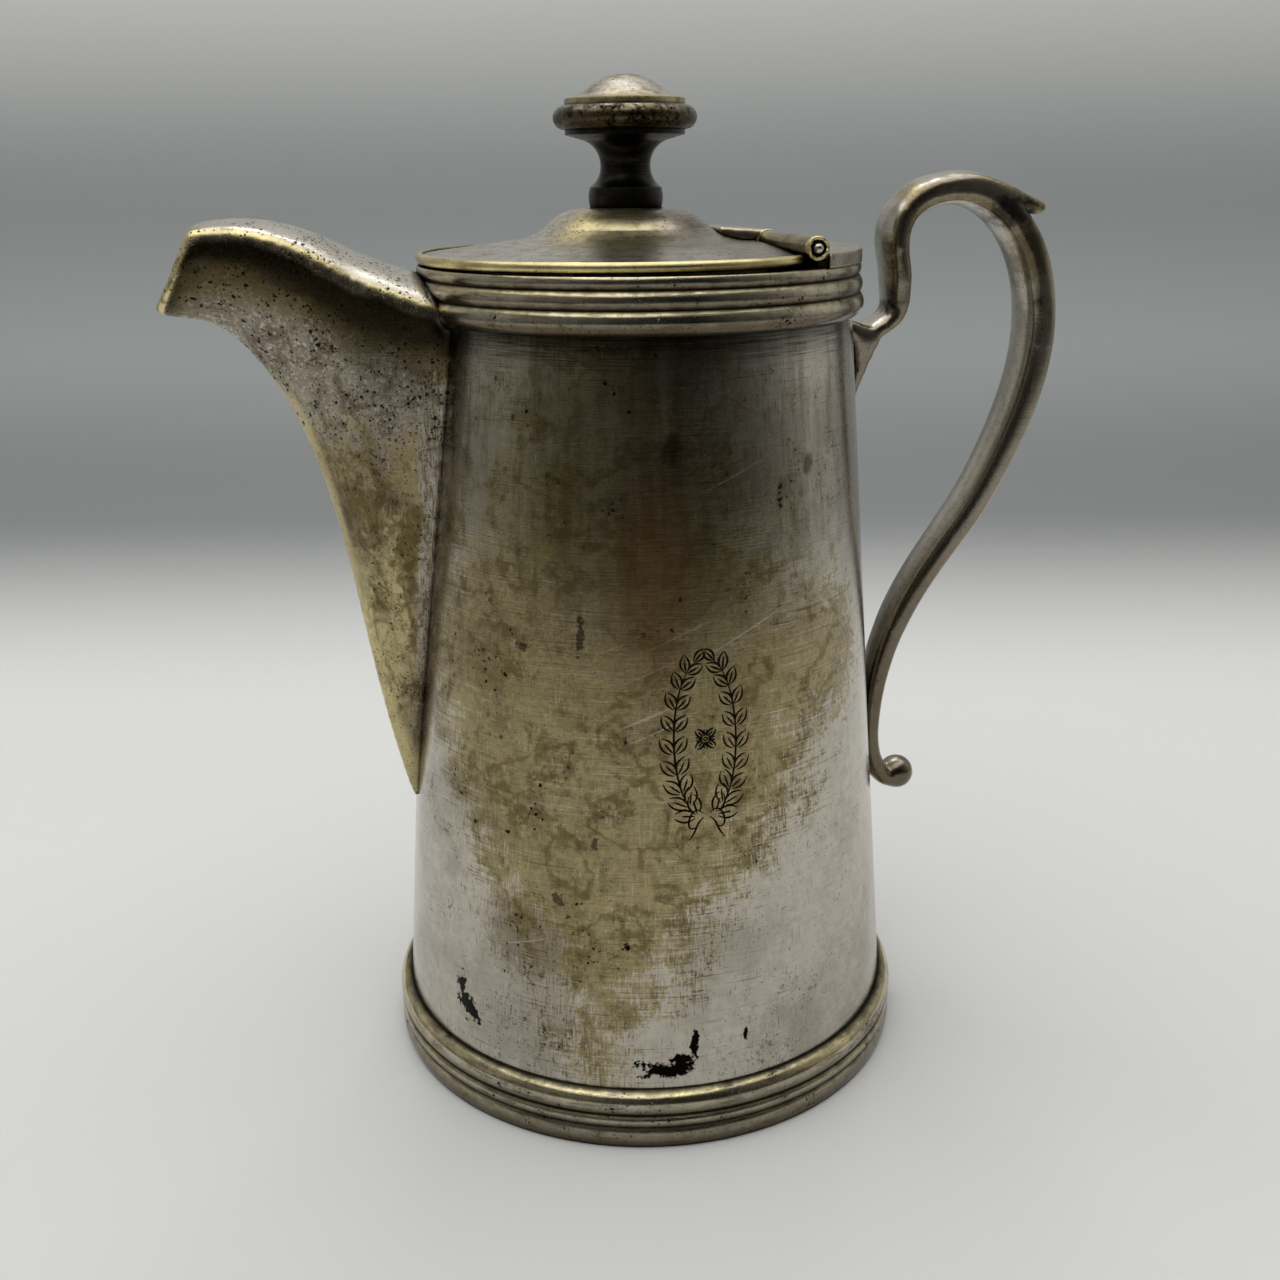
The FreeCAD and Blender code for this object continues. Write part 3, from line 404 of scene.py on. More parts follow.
def worn_plate(name, finish, wear, rubbed=None, stained=None):
    """Silver plate over yellow metal: streaked by polishing, worn through on edges, black in hollows.

    rubbed(g) gives a mask of more bare metal, stained(g) a list of masks and colours laid over it.
    """
    material, tree = new_tree(name)
    g = metal_ground(tree, wear)
    node = g.node
    bare = node("MapRange.SMOOTHSTEP", g.worn, 0.62 - 0.28 * wear.bare, 0.69 - 0.28 * wear.bare)
    patchy = node("MapRange", g.blotch, 0.3, 0.5, 0.3 * wear.edge_wear, wear.edge_wear)
    edge = node("Math.MULTIPLY", g.edge, patchy)
    bare = node("Math.MAXIMUM", bare, edge)
    thin = node("MapRange", g.blotch, 0.35, 0.65, wear.blush * 0.6, wear.blush)
    bare = node("Math.MAXIMUM", bare, thin)
    if rubbed:
        bare = node("Math.MAXIMUM", bare, rubbed(g))
    # colour: streaked plate, mottled metal, bright edges, stains, brown film, black dirt, and painted
    # shade along the grooves
    plate = node("Mix.RGBA", node("MapRange", g.streak, 0.3, 0.7), rgba(finish.plate, 0.72),
                 rgba(finish.plate))
    metal = node("Mix.RGBA", node("MapRange", g.grain, 0.35, 0.68), rgba(finish.bare, 0.66),
                 rgba(finish.bare))
    metal = node("Mix.RGBA", node("MapRange", g.blotch, 0.48, 0.66, 0.0, wear.olive), metal,
                 rgba(finish.olive))
    tone = node("Mix.RGBA", bare, plate, metal)
    tone = node("Mix.RGBA", node("Math.MULTIPLY", edge, wear.edge_bright), tone, rgba(finish.bright))
    # hairline scratches: some dark with old polish, some fresh
    dark_hair = node("Math.MAXIMUM", node("MapRange", g.streak, 0.57, 0.70),
                     node("MapRange", g.cross, 0.59, 0.70))
    slow = node("Math.MULTIPLY", node("Math.ADD", g.patch, g.crust), 0.5)
    film = node("MapRange.SMOOTHSTEP", slow, 0.38, 0.62, *wear.film)
    film = node("Math.MULTIPLY_ADD", dark_hair, wear.hair, film, use_clamp=True)
    film = node("Math.MULTIPLY", film, node("MapRange", edge, 0.0, 1.0, 1.0, 0.2))
    tone = node("Mix.RGBA", film, tone, rgba(finish.tarnish_and_shade))
    fresh_hair = node("Math.MAXIMUM", node("MapRange", g.streak, 0.41, 0.30),
                      node("MapRange", g.cross, 0.40, 0.30))
    tone = node("Mix.RGBA", node("Math.MULTIPLY", fresh_hair, wear.hair), tone, rgba(finish.plate))
    for mask, stain in (stained(g) if stained else []):
        tone = node("Mix.RGBA", mask, tone, rgba(stain))
    dark = node("MapRange.SMOOTHSTEP", ragged(g, g.hollow, g.blotch, 0.35), 0.62 - 0.5 * wear.dirt,
                0.86 - 0.5 * wear.dirt)
    # painted shade: a black band along each groove, with the old polish in it
    for groove in wear.grooves:
        width = node("MapRange", g.crust, 0.3, 0.7, 0.45, 0.95)
        soot_and_shade = node("MapRange", distance_from(g, g.height, groove), width, 0.05, 0.0, 0.95)
        dark = node("Math.MAXIMUM", dark, soot_and_shade)
    dark = node("Math.MAXIMUM", dark, specks(g, 0.5, wear.specks))
    holes = []
    if wear.pits:
        holes = [pit_cells(g, cell, wear.pits) for cell in (wear.pit_cell, wear.pit_cell * 0.55)]
    for hole in holes:
        if wear.pit_low:
            fewer = node("MapRange", g.height, wear.pit_low, wear.pit_low + 20.0, 0.0, 0.9)
            hole = node("Math.MULTIPLY", hole, fewer)
        dark = node("Math.MAXIMUM", dark, hole)
    tone = node("Mix.RGBA", dark, tone, rgba(finish.grime_and_shade))
    # gloss: bare metal duller than plate, dirt dull
    gloss = node("MapRange", g.streak, 0.25, 0.75, wear.gloss - 0.05, wear.gloss + 0.07)
    gloss = node("Math.MULTIPLY_ADD", bare, wear.bare_dull, gloss)
    gloss = node("Mix", dark, gloss, 0.65)
    # fine relief: streaks, scratches, grain, pits and slow waves of the sheet
    relief = node("Math.MULTIPLY_ADD", g.streak, 0.22, node("Math.MULTIPLY", g.grain, 0.2))
    relief = node("Math.MULTIPLY_ADD", g.cross, 0.22, relief)
    for hole in holes:
        relief = node("Math.MULTIPLY_ADD", hole, -1.2, relief)
    relief = node("Math.MULTIPLY_ADD", g.patch, 2.0, relief)
    normal = node("Bump", inputs={"Strength": 0.5, "Distance": 0.12 * MM, "Height": relief,
                                  "Normal": g.normal})
    shader = node("BsdfPrincipled", inputs={"Base Color": tone, "Roughness": gloss, "Metallic": 1.0,
                                            "Normal": normal})
    node("OutputMaterial", shader)
    return material


# Marks of the wall: degrees round from the engraved side, height, half width, half height, how torn the
# outline is, strength
WALL_MARKS = [
    (-6.7, 139.2, 1.9, 2.8, 0.5, 0.55),
    (30.4, 134.2, 1.6, 2.4, 0.3, 0.65),
    (-57.6, 22.0, 2.4, 2.2, 1.0, 1.0),
    (-60.0, 25.5, 1.2, 2.4, 1.0, 1.0),
    (-55.6, 20.2, 1.6, 1.0, 1.0, 1.0),
    (-10.5, 16.6, 4.0, 1.3, 1.0, 1.0),
    (-6.0, 18.3, 2.4, 1.3, 1.0, 1.0),
    (-3.6, 22.4, 0.7, 2.0, 1.0, 1.0),
    (8.1, 22.1, 0.45, 1.5, 0.8, 1.0),
    (-28.1, 104.3, 0.6, 3.0, 1.0, 0.7),
    (-42.0, 102.0, 1.2, 0.8, 1.0, 0.7),
    (-25.0, 64.0, 0.6, 1.2, 1.0, 0.7),
    (-33.0, 52.0, 0.9, 1.0, 1.0, 0.7),
]


# Worn shield on the front: degrees round from the engraved side, the wall's radius there, heights of its
# point, its widest part and its top, and its half widths there
SHIELD_TURN = -22.0
SHIELD_RADIUS = 49.0
SHIELD_HEIGHTS = (24.0, 96.0, 152.0)
SHIELD_HALVES = (4.0, 54.0, 22.0)


def wall_material(finish):
    """Rolled sheet, electroplated and hand polished: the front is rubbed through to yellow metal."""
    def rubbed(g):
        # the shield is a point above the foot, widest at mid height and narrow under the rim
        node = g.node
        around = node("Math.MULTIPLY", distance_from(g, g.angle, math.radians(SHIELD_TURN)),
                      SHIELD_RADIUS)
        rising = node("MapRange", g.height, *SHIELD_HEIGHTS[:2], *SHIELD_HALVES[:2])
        falling = node("MapRange", g.height, *SHIELD_HEIGHTS[1:], *SHIELD_HALVES[1:])
        half = node("Math.MINIMUM", rising, falling)
        inside = node("Math.SUBTRACT", half, around)
        for noise, reach in ((g.blotch, 60.0), (g.streak, 40.0), (g.cross, 42.0), (g.grain, 44.0)):
            inside = ragged(g, inside, noise, reach)
        soft = node("MapRange", g.height, 92.0, 130.0, 7.0, 24.0)
        shield = node("MapRange.SMOOTHSTEP", inside, node("Math.MULTIPLY", soft, -1.0), soft, 0.0, 0.95)
        g.shield = node("Math.MAXIMUM", shield, spot(g, 36.0, 97.0, 12.0, 13.0, 0.7, 0.85))
        return g.shield

    def stained(g):
        node = g.node
        lines = node("Math.MULTIPLY", stain_lines(g, 14.0), node("Math.MULTIPLY", g.shield, 0.7))
        cluster = node("MapRange", node("Math.ADD", g.patch, g.blotch), 0.98, 1.16, 0.1, 1.0)
        cluster = node("Math.MULTIPLY", cluster, node("MapRange", g.shield, 0.0, 0.9, 0.35, 1.0))
        dots = [node("Math.MULTIPLY", pit_cells(g, cell, share), cluster)
                for cell, share in ((1.7, 0.22), (0.9, 0.34))]
        smoky = node("MapRange.SMOOTHSTEP", g.patch, 0.5, 0.66, 0.0, 0.18)
        mixed = node("Math.MULTIPLY", node("Math.ADD", g.blotch, g.crust), 0.5)
        mottle = node("MapRange.SMOOTHSTEP", mixed, 0.48, 0.62, 0.0, 0.35)
        mottle = node("Math.MULTIPLY", mottle, g.shield)
        # long scratches, leaning, that cut back to the plate
        leaning = node("Mapping", g.mm, inputs={"Rotation": (0.0, math.radians(24.0), 0.0)})
        long_way = node("VectorMath.MULTIPLY", leaning, (1 / 34.0, 1 / 34.0, 1 / 0.6))
        scratch = node("MapRange", node("TexNoise", long_way, 1.0, 2.0, 0.5), 0.70, 0.76, 0.0, 0.5)
        # soot with painted shade: a black band under the rim, ragged by the streaks
        soot_and_shade = node("MapRange.SMOOTHSTEP", ragged(g, g.height, g.streak, 14.0), 151.0, 160.0, 0.0, 0.85)
        smears = node("TexNoise", node("VectorMath.DIVIDE", g.mm, (2.5, 2.5, 45.0)), 1.0, 4.0, 0.65)
        upper = node("MapRange.SMOOTHSTEP", g.height, 92.0, 128.0)
        smoke, wiped = [
            node("Math.MULTIPLY", upper, node("MapRange", smears, *reach))
            for reach in ((0.52, 0.66, 0.0, 0.4), (0.47, 0.34, 0.0, 0.35))]
        wiped = node("Math.MULTIPLY", wiped, node("MapRange", g.shield, 0.0, 0.9, 1.0, 0.25))
        cloud = spot(g, -41.0, 43.0, 11.0, 9.0, 0.45)
        coffee = node("MapRange", g.outside, -0.4, -0.8, 0.0, 0.9)
        stains = [
            (smoky, finish.tarnish_and_shade),
            (mottle, finish.tarnish_and_shade),
            # painted reflection: a dark patch high on the front, where the camera's side is mirrored,
            # with a reddish streak painted in it
            (spot(g, -13.0, 128.0, 26.0, 40.0, 0.3, 0.45), finish.tarnish_and_shade),
            (spot(g, -11.0, 117.0, 9.0, 27.0, 0.25, 0.45), finish.reddish_reflection),
            (spot(g, -36.6, 119.7, 3.0, 3.0, 0.4, 0.25), finish.yellow),
            (node("Math.MULTIPLY", cloud, 0.55), finish.olive),
            (node("Math.MULTIPLY", cloud, pit_cells(g, 1.0, 0.6)), finish.grime_and_shade),
            (smoke, finish.tarnish_and_shade),
            (wiped, finish.plate),
            (lines, finish.olive),
            (dots[0], finish.grime_and_shade),
            (dots[1], finish.grime_and_shade),
            (scratch, finish.plate),
            (soot_and_shade, finish.grime_and_shade),
        ]
        stains += [(spot(g, *mark), finish.grime_and_shade) for mark in WALL_MARKS]
        return stains + [(coffee, finish.tarnish_and_shade)]

    wear = Wear(bare=0.16, olive=0.25, bare_dull=0.12, film=(0.0, 0.22), specks=0.5, gloss=0.14,
                hollow=4.0, hair=0.6)
    return worn_plate("Silver-plated sheet, hand polished", finish, wear, rubbed, stained)


# Pieces


def finish_piece(piece, body, slot, material, *nodes):
    """Link a piece, give it its finish and set what it rides on and stands for."""
    bpy.context.scene.collection.objects.link(piece)
    piece.data.materials.clear()
    piece.data.materials.append(material)
    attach(piece, body)
    if nodes:
        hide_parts(*nodes)


def paint(material, *nodes):
    """Give carried-over solids their finish."""
    for node in nodes:
        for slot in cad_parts[node].material_slots:
            slot.material = material


def baked(context, piece):
    """Mesh of a piece with its modifiers applied; the piece itself is removed."""
    context.scene.collection.objects.link(piece)
    context.view_layer.update()
    mesh = bpy.data.meshes.new_from_object(piece.evaluated_get(context.evaluated_depsgraph_get()))
    bpy.data.objects.remove(piece)
    return mesh


def from_wall(point):
    """Distance of a point outside the wall's cone."""
    return math.hypot(point.x, point.y) - wall_radius(point.z)


def softened(context, name, nodes, grain, rounds, swell):
    """Cast solids run together and let into the wall, their edges rubbed round.

    nodes holds how far each solid is also carried along X, into the wall. Each point of the casting
    keeps how deep it was rubbed, in millimetres.
    """
    shape = bmesh.new()
    for node, sink in nodes.items():
        for carried in (0.0, sink) if sink else (0.0,):
            known = set(shape.verts)
            shape.from_mesh(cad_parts[node].data)
            fresh = [vert for vert in shape.verts if vert not in known]
            bmesh.ops.translate(shape, verts=fresh, vec=(carried, 0, 0))
            bmesh.ops.remove_doubles(shape, verts=fresh, dist=TOUCH / 10)
    rough = mesh_object(name, shape)
    remesh = rough.modifiers.new("grain", "REMESH")
    remesh.mode = "VOXEL"
    remesh.voxel_size = grain
    shape = bmesh.new()
    shape.from_mesh(baked(context, rough))
    rubbed = shape.verts.layers.float.new("rubbed")
    before = [vert.co.copy() for vert in shape.verts]
    for _ in range(rounds):
        bmesh.ops.smooth_vert(shape, verts=shape.verts[:], factor=0.5, use_axis_x=True, use_axis_y=True,
                              use_axis_z=True)
    shape.normal_update()
    for vert, old in zip(shape.verts, before):
        clear = min(1.0, abs(from_wall(vert.co)) / SEAM_FADE)
        vert[rubbed] = (old - vert.co).dot(vert.normal) / MM * clear
        vert.co += vert.normal * swell
    return mesh_object(name, shape, math.radians(60))


def mesh_object(name, shape, smooth_angle=math.radians(35)):
    """Object with a mesh made from a bmesh, smooth up to an angle."""
    mesh = bpy.data.meshes.new(name)
    shape.to_mesh(mesh)
    shape.free()
    mesh.shade_smooth()
    mesh.set_sharp_from_angle(angle=smooth_angle)
    return bpy.data.objects.new(name, mesh)


# Shallow dents of the wall: degrees round from the engraved side, height, radius, depth
WALL_DENTS = [
    (-7.0, 141.0, 5.0, 0.16),
    (37.0, 137.0, 4.0, 0.20),
    (22.0, 112.0, 14.0, 0.14),
    (-40.0, 96.0, 16.0, 0.16),
    (60.0, 70.0, 15.0, 0.16),
    (120.0, 90.0, 18.0, 0.22),
    (165.0, 60.0, 12.0, 0.24),
    (-130.0, 110.0, 16.0, 0.20),
    (-150.0, 40.0, 9.0, 0.22),
]


class COFFEE_POT_OT_wall(bpy.types.Operator):
    """Tapered wall with its strainer holes and shallow dents"""
    bl_idname = "coffee_pot.wall"
    bl_label = "Wall"

    def execute(self, context):
        sizes = context.scene.pot_sizes
        shape = bmesh.new()
        foot = shape.verts.new((0.0, WALL_BASE_RADIUS, WALL_LOW.z))
        mouth = shape.verts.new((0.0, WALL_MOUTH_RADIUS, WALL_HIGH.z))
        line = shape.edges.new((foot, mouth))
        bmesh.ops.subdivide_edges(shape, edges=[line], cuts=sizes.wall_rows - 1)
        bmesh.ops.spin(shape, geom=shape.verts[:] + shape.edges[:], axis=(0, 0, 1), cent=(0, 0, 0),
                       angle=math.tau, steps=sizes.wall_segments, use_merge=True)
        bmesh.ops.recalc_face_normals(shape, faces=shape.faces[:])
        for vert in shape.verts:
            vert.co += self.push(vert.co)
        bmesh.ops.solidify(shape, geom=shape.faces[:], thickness=sizes.wall_sheet)
        wall = mesh_object("tapered_wall", shape)
        self.pierce(context, wall, sizes)
        finish_piece(wall, "pot", "wall_plate", wall_material(context.scene.pot_finish), "body_wall")
        return {"FINISHED"}

    def push(self, point):
        """How far the dents push a point of the wall inwards."""
        inward = Vector((-point.x, -point.y, 0.0)).normalized()
        depth = 0.0
        for degrees, height, radius, deep in WALL_DENTS:
            angle = math.radians(degrees)
            centre = Vector((math.sin(angle), -math.cos(angle), 0.0)) * wall_radius(height * MM)
            centre.z = height * MM
            away = (point - centre).length / (radius * MM)
            depth += deep * MM * math.exp(-away * away)
        return inward * depth

    def pierce(self, context, wall, sizes):
        """Cut the strainer holes behind the spout."""
        drill = bmesh.new()
        turn = Matrix.Rotation(math.pi / 2, 4, "Y")
        for row in range(STRAINER_ROWS):
            for column in (-1, 0, 1) if row < STRAINER_WIDE_ROWS else (0,):
                up = WALL_HIGH.z - sizes.strainer_drop - row * sizes.strainer_pitch
                place = Matrix.Translation((-wall_radius(up), column * sizes.strainer_column, up))
                bmesh.ops.create_cone(drill, cap_ends=True, segments=DRILL_SIDES, depth=DRILL_DEPTH,
                                      radius1=sizes.strainer_radius, radius2=sizes.strainer_radius,
                                      matrix=place @ turn)
        cutter = mesh_object("strainer_drill", drill)
        context.scene.collection.objects.link(cutter)
        context.scene.collection.objects.link(wall)
        cut = wall.modifiers.new("strainer", "BOOLEAN")
        cut.object = cutter
        cut.solver = "EXACT"
        context.view_layer.update()
        pierced = bpy.data.meshes.new_from_object(wall.evaluated_get(context.evaluated_depsgraph_get()))
        clean = bmesh.new()
        clean.from_mesh(pierced)
        bmesh.ops.dissolve_degenerate(clean, dist=TOUCH / 10, edges=clean.edges[:])
        clean.to_mesh(pierced)
        clean.free()
        wall.modifiers.clear()
        wall.data = pierced
        context.scene.collection.objects.unlink(wall)
        bpy.data.objects.remove(cutter)


class COFFEE_POT_OT_ornament(bpy.types.Operator):
    """Engraved laurel wreath on the front of the wall"""
    bl_idname = "coffee_pot.ornament"
    bl_label = "Engraved ornament"

    # Branches: shares of the drawing that their oval fills, degrees from the bow at which they start, get
    # their first leaves and end, degrees between leaves, pairs of leaves and how far a leaf leans
    FILL_WIDE, FILL_TALL = 0.74, 0.86
    START, FIRST_LEAF, END = 4, 16, 160
    LEAF_STEP, LEAF_PAIRS, LEAF_LEAN = 16, 9, 0.62
    # Leaves: length of the first and how much shorter each next one is, length of the one at the tip, for
    # half the drawing's width, and half width of a leaf for its length
    LEAF_LONG, LEAF_SHRINK, LEAF_TIP = 0.62, 0.02, 0.42
    LEAF_BULGE = 0.24
    # Flower and bow, for half the drawing's width
    FLOWER, BOW = 0.2, 0.5
    PETALS = 8
    # Thickness of a closed line, and of an open one at its ends, for its widest
    CLOSED_LINE, LINE_END = 0.8, 0.35

    def execute(self, context):
        sizes = context.scene.pot_sizes
        half_wide = sizes.ornament_width / 2
        half_tall = sizes.ornament_height / 2
        lines = bpy.data.curves.new("engraved_wreath", "CURVE")
        lines.dimensions = "3D"
        lines.bevel_depth = sizes.cut_width / 2
        lines.bevel_resolution = 1
        lines.use_fill_caps = True
        for side in (-1, 1):
            self.branch(lines, side, half_wide, half_tall)
        self.rosette(lines, half_wide * self.FLOWER)
        self.bow(lines, half_wide * self.BOW, -half_tall)
        flat = bpy.data.objects.new("engraved_wreath", lines)
        context.scene.collection.objects.link(flat)
        context.view_layer.update()
        mesh = bpy.data.meshes.new_from_object(flat.evaluated_get(context.evaluated_depsgraph_get()))
        bpy.data.objects.remove(flat)
        for vert in mesh.vertices:
            vert.co = self.on_wall(vert.co, sizes.ornament_middle)
        mesh.shade_smooth()
        wreath = bpy.data.objects.new("engraved_wreath", mesh)
        finish_piece(wreath, "pot", "wall_plate", cut_material(context.scene.pot_finish))
        return {"FINISHED"}

    def on_wall(self, point, middle):
        """Bend a point of the flat drawing round the wall, its lines let in all but flush."""
        height = middle + point.y
        radius = wall_radius(height) + point.z * CUT_FLATNESS - TOUCH
        angle = point.x / wall_radius(middle)
        return Vector((radius * math.sin(angle), -radius * math.cos(angle), height))

    def stroke(self, lines, points, closed=False):
        """Engraved line that swells in its middle and thins to its ends."""
        spline = lines.splines.new("POLY")
        spline.points.add(len(points) - 1)
        spline.use_cyclic_u = closed
        for number, (across, up) in enumerate(points):
            share = number / (len(points) - 1)
            spline.points[number].co = (across, up, 0.0, 1.0)
            swelling = self.LINE_END + (1 - self.LINE_END) * math.sin(math.pi * share)
            spline.points[number].radius = self.CLOSED_LINE if closed else swelling

    def leaf(self, lines, root, direction, size):
        """Pointed leaf with its rib."""
        along = Vector((math.cos(direction), math.sin(direction)))
        beside = Vector((-along.y, along.x))
        for side in (-1, 1):
            outline = []
            for step in range(9):
                share = step / 8
                bulge = math.sin(math.pi * share) * self.LEAF_BULGE * size
                outline.append(root + along * size * share + beside * side * bulge)
            self.stroke(lines, outline)
        self.stroke(lines, [root + along * size * share for share in (0.0, 0.25, 0.5, 0.75)])

    def branch(self, lines, side, half_wide, half_tall):
        """One half of the wreath, from the bow up to the gap at the top."""
        def at(angle):
            return Vector((side * half_wide * self.FILL_WIDE * math.sin(angle),
                           -half_tall * self.FILL_TALL * math.cos(angle)))

        angles = [math.radians(self.START + (self.END - self.START) * step / 40) for step in range(41)]
        self.stroke(lines, [at(angle) for angle in angles])
        for number in range(self.LEAF_PAIRS):
            angle = math.radians(self.FIRST_LEAF + self.LEAF_STEP * number)
            ahead = at(angle + 0.05) - at(angle)
            heading = math.atan2(ahead.y, ahead.x)
            size = half_wide * (self.LEAF_LONG - self.LEAF_SHRINK * number)
            for lean in (-self.LEAF_LEAN, self.LEAF_LEAN):
                self.leaf(lines, at(angle), heading + lean, size)
        tip = at(math.radians(self.END))
        before = at(math.radians(self.END - 4))
        heading = math.atan2(tip.y - before.y, tip.x - before.x)
        self.leaf(lines, tip, heading, half_wide * self.LEAF_TIP)

    def rosette(self, lines, size):
        """Flower of eight petals in the middle."""
        for number in range(self.PETALS):
            direction = math.tau * number / self.PETALS
            root = Vector((math.cos(direction), math.sin(direction))) * size * 0.25
            self.leaf(lines, root, direction, size * (1.5 if number % 2 else 1.0))
        turns = [math.tau * step / 12 for step in range(12)]
        eye = [Vector((math.cos(turn), math.sin(turn))) * size * 0.2 for turn in turns]
        self.stroke(lines, eye, closed=True)

    def bow(self, lines, size, low):
        """Ribbon bow that ties the branches: two loops and two tails."""
        knot = low * self.FILL_TALL
        for side in (-1, 1):
            loop = []
            for step in range(17):
                turn = math.pi * step / 16
                loop.append(Vector((side * size * math.sin(turn) * (0.4 + 0.6 * math.sin(turn / 2)),
                                    knot + size * 0.45 * math.sin(2 * turn))))
            self.stroke(lines, loop)
            tail = []
            for share in (0.0, 0.2, 0.4, 0.6, 0.8, 1.0):
                drop = size * (0.9 * share - 0.25 * math.sin(6 * share))
                tail.append(Vector((side * size * share, knot - drop)))
            self.stroke(lines, tail)


def cut_material(finish):
    """Cut line in the plate, filled with black oxide: dull, with a brown cast."""
    material, tree = new_tree("Engraved line, blackened")
    node = partial(add, tree)
    place = node("VectorMath.SCALE", node("TexCoord").node.outputs["Object"], 1 / MM)
    grain = node("TexNoise", place, 1 / GRAIN, 4.0, 0.75)
    tone = node("Mix.RGBA", node("MapRange", grain, 0.35, 0.65), rgba(finish.grime_and_shade),
                rgba(finish.tarnish_and_shade, 0.3))
    shader = node("BsdfPrincipled", inputs={"Base Color": tone, "Roughness": 0.55, "Metallic": 1.0})
    node("OutputMaterial", shader)
    return material


class COFFEE_POT_OT_mouldings(bpy.types.Operator):
    """Finish of the reeded foot, the rim, the lid's edge and the base plate"""
    bl_idname = "coffee_pot.mouldings"
    bl_label = "Mouldings"

    def execute(self, context):
        finish = context.scene.pot_finish
        sizes = context.scene.pot_sizes
        foot_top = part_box("foot_moulding")[1].z / MM
        rim_low, rim_top = (corner.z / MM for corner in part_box("rim_moulding"))

        def painted_reed_light_and_streaks(g):
            # painted light: the upper side of each reed is painted bright gold as highlight, its
            # underside and the reeds near the table are painted darker as shade; the drawn-out streaks
            # are real tarnish
            node = g.node
            bright = node("MapRange.SMOOTHSTEP", g.up_facing, 0.1, 0.75, 0.0, 0.9)
            worn = node("MapRange", g.blotch, 0.36, 0.6, 1.0, 0.25)
            below = node("MapRange.SMOOTHSTEP", g.up_facing, 0.2, -0.45, 0.0, 0.85)
            near_table = node("MapRange", g.height, sizes.foot_groove_upper / MM, 1.0, 0.0, 0.65)
            drawn_out = node("VectorMath.DIVIDE", g.mm, (7.0, 7.0, 0.9))
            streaky = node("MapRange", node("TexNoise", drawn_out, 1.0, 5.0, 0.7), 0.52, 0.64, 0.0, 0.55)
            return [
                (node("Math.MULTIPLY", bright, worn), finish.bright),
                (below, finish.tarnish_and_shade),
                (near_table, finish.tarnish_and_shade),
                (streaky, finish.tarnish_and_shade),
            ]

        def wiped(g):
            return [(g.node("MapRange", g.blotch, 0.36, 0.64, 1.0, 0.5), finish.bright)]

        # drawn moulding, plated and pitted: painted highlight on the crests, painted shade below them,
        # black grooves of old polish with painted shade
        reeds = Wear(bare=0.3, blush=0.4, film=(0.0, 0.35), hollow=2.0, edge_round=0.4, gloss=0.12,
                     specks=0.8, pits=0.18, pit_cell=0.9)
        foot_grooves = (foot_top, sizes.foot_groove_upper / MM, sizes.foot_groove_lower / MM)
        foot = replace(reeds, grooves=foot_grooves)
        paint(worn_plate("Silver plate on the reeded foot", finish, foot, stained=painted_reed_light_and_streaks), "foot_moulding")
        rim_drops = (sizes.rim_groove_upper / MM, sizes.rim_groove_lower / MM)
        rim = replace(reeds, grooves=(*[rim_top - drop for drop in rim_drops], rim_low))
        paint(worn_plate("Silver plate on the reeded rim", finish, rim, stained=painted_reed_light_and_streaks), "rim_moulding")
        # drawn wire, its plate gone: a thin gold line round the lid
        wire = Wear(bare=1.0, blush=1.0, film=(0.0, 0.15), hollow=1.4, edge_round=0.4, gloss=0.2)
        paint(worn_plate("Half-round wire, plate worn off", finish, wire, stained=wiped), "lid_edge_wire")
        # spun disc, never polished: dull and brown
        base = Wear(bare=0.3, film=(0.5, 0.9), gloss=0.4, brush="disc")
        paint(worn_plate("Silver-plated base, unpolished", finish, base), "base_plate")
        return {"FINISHED"}


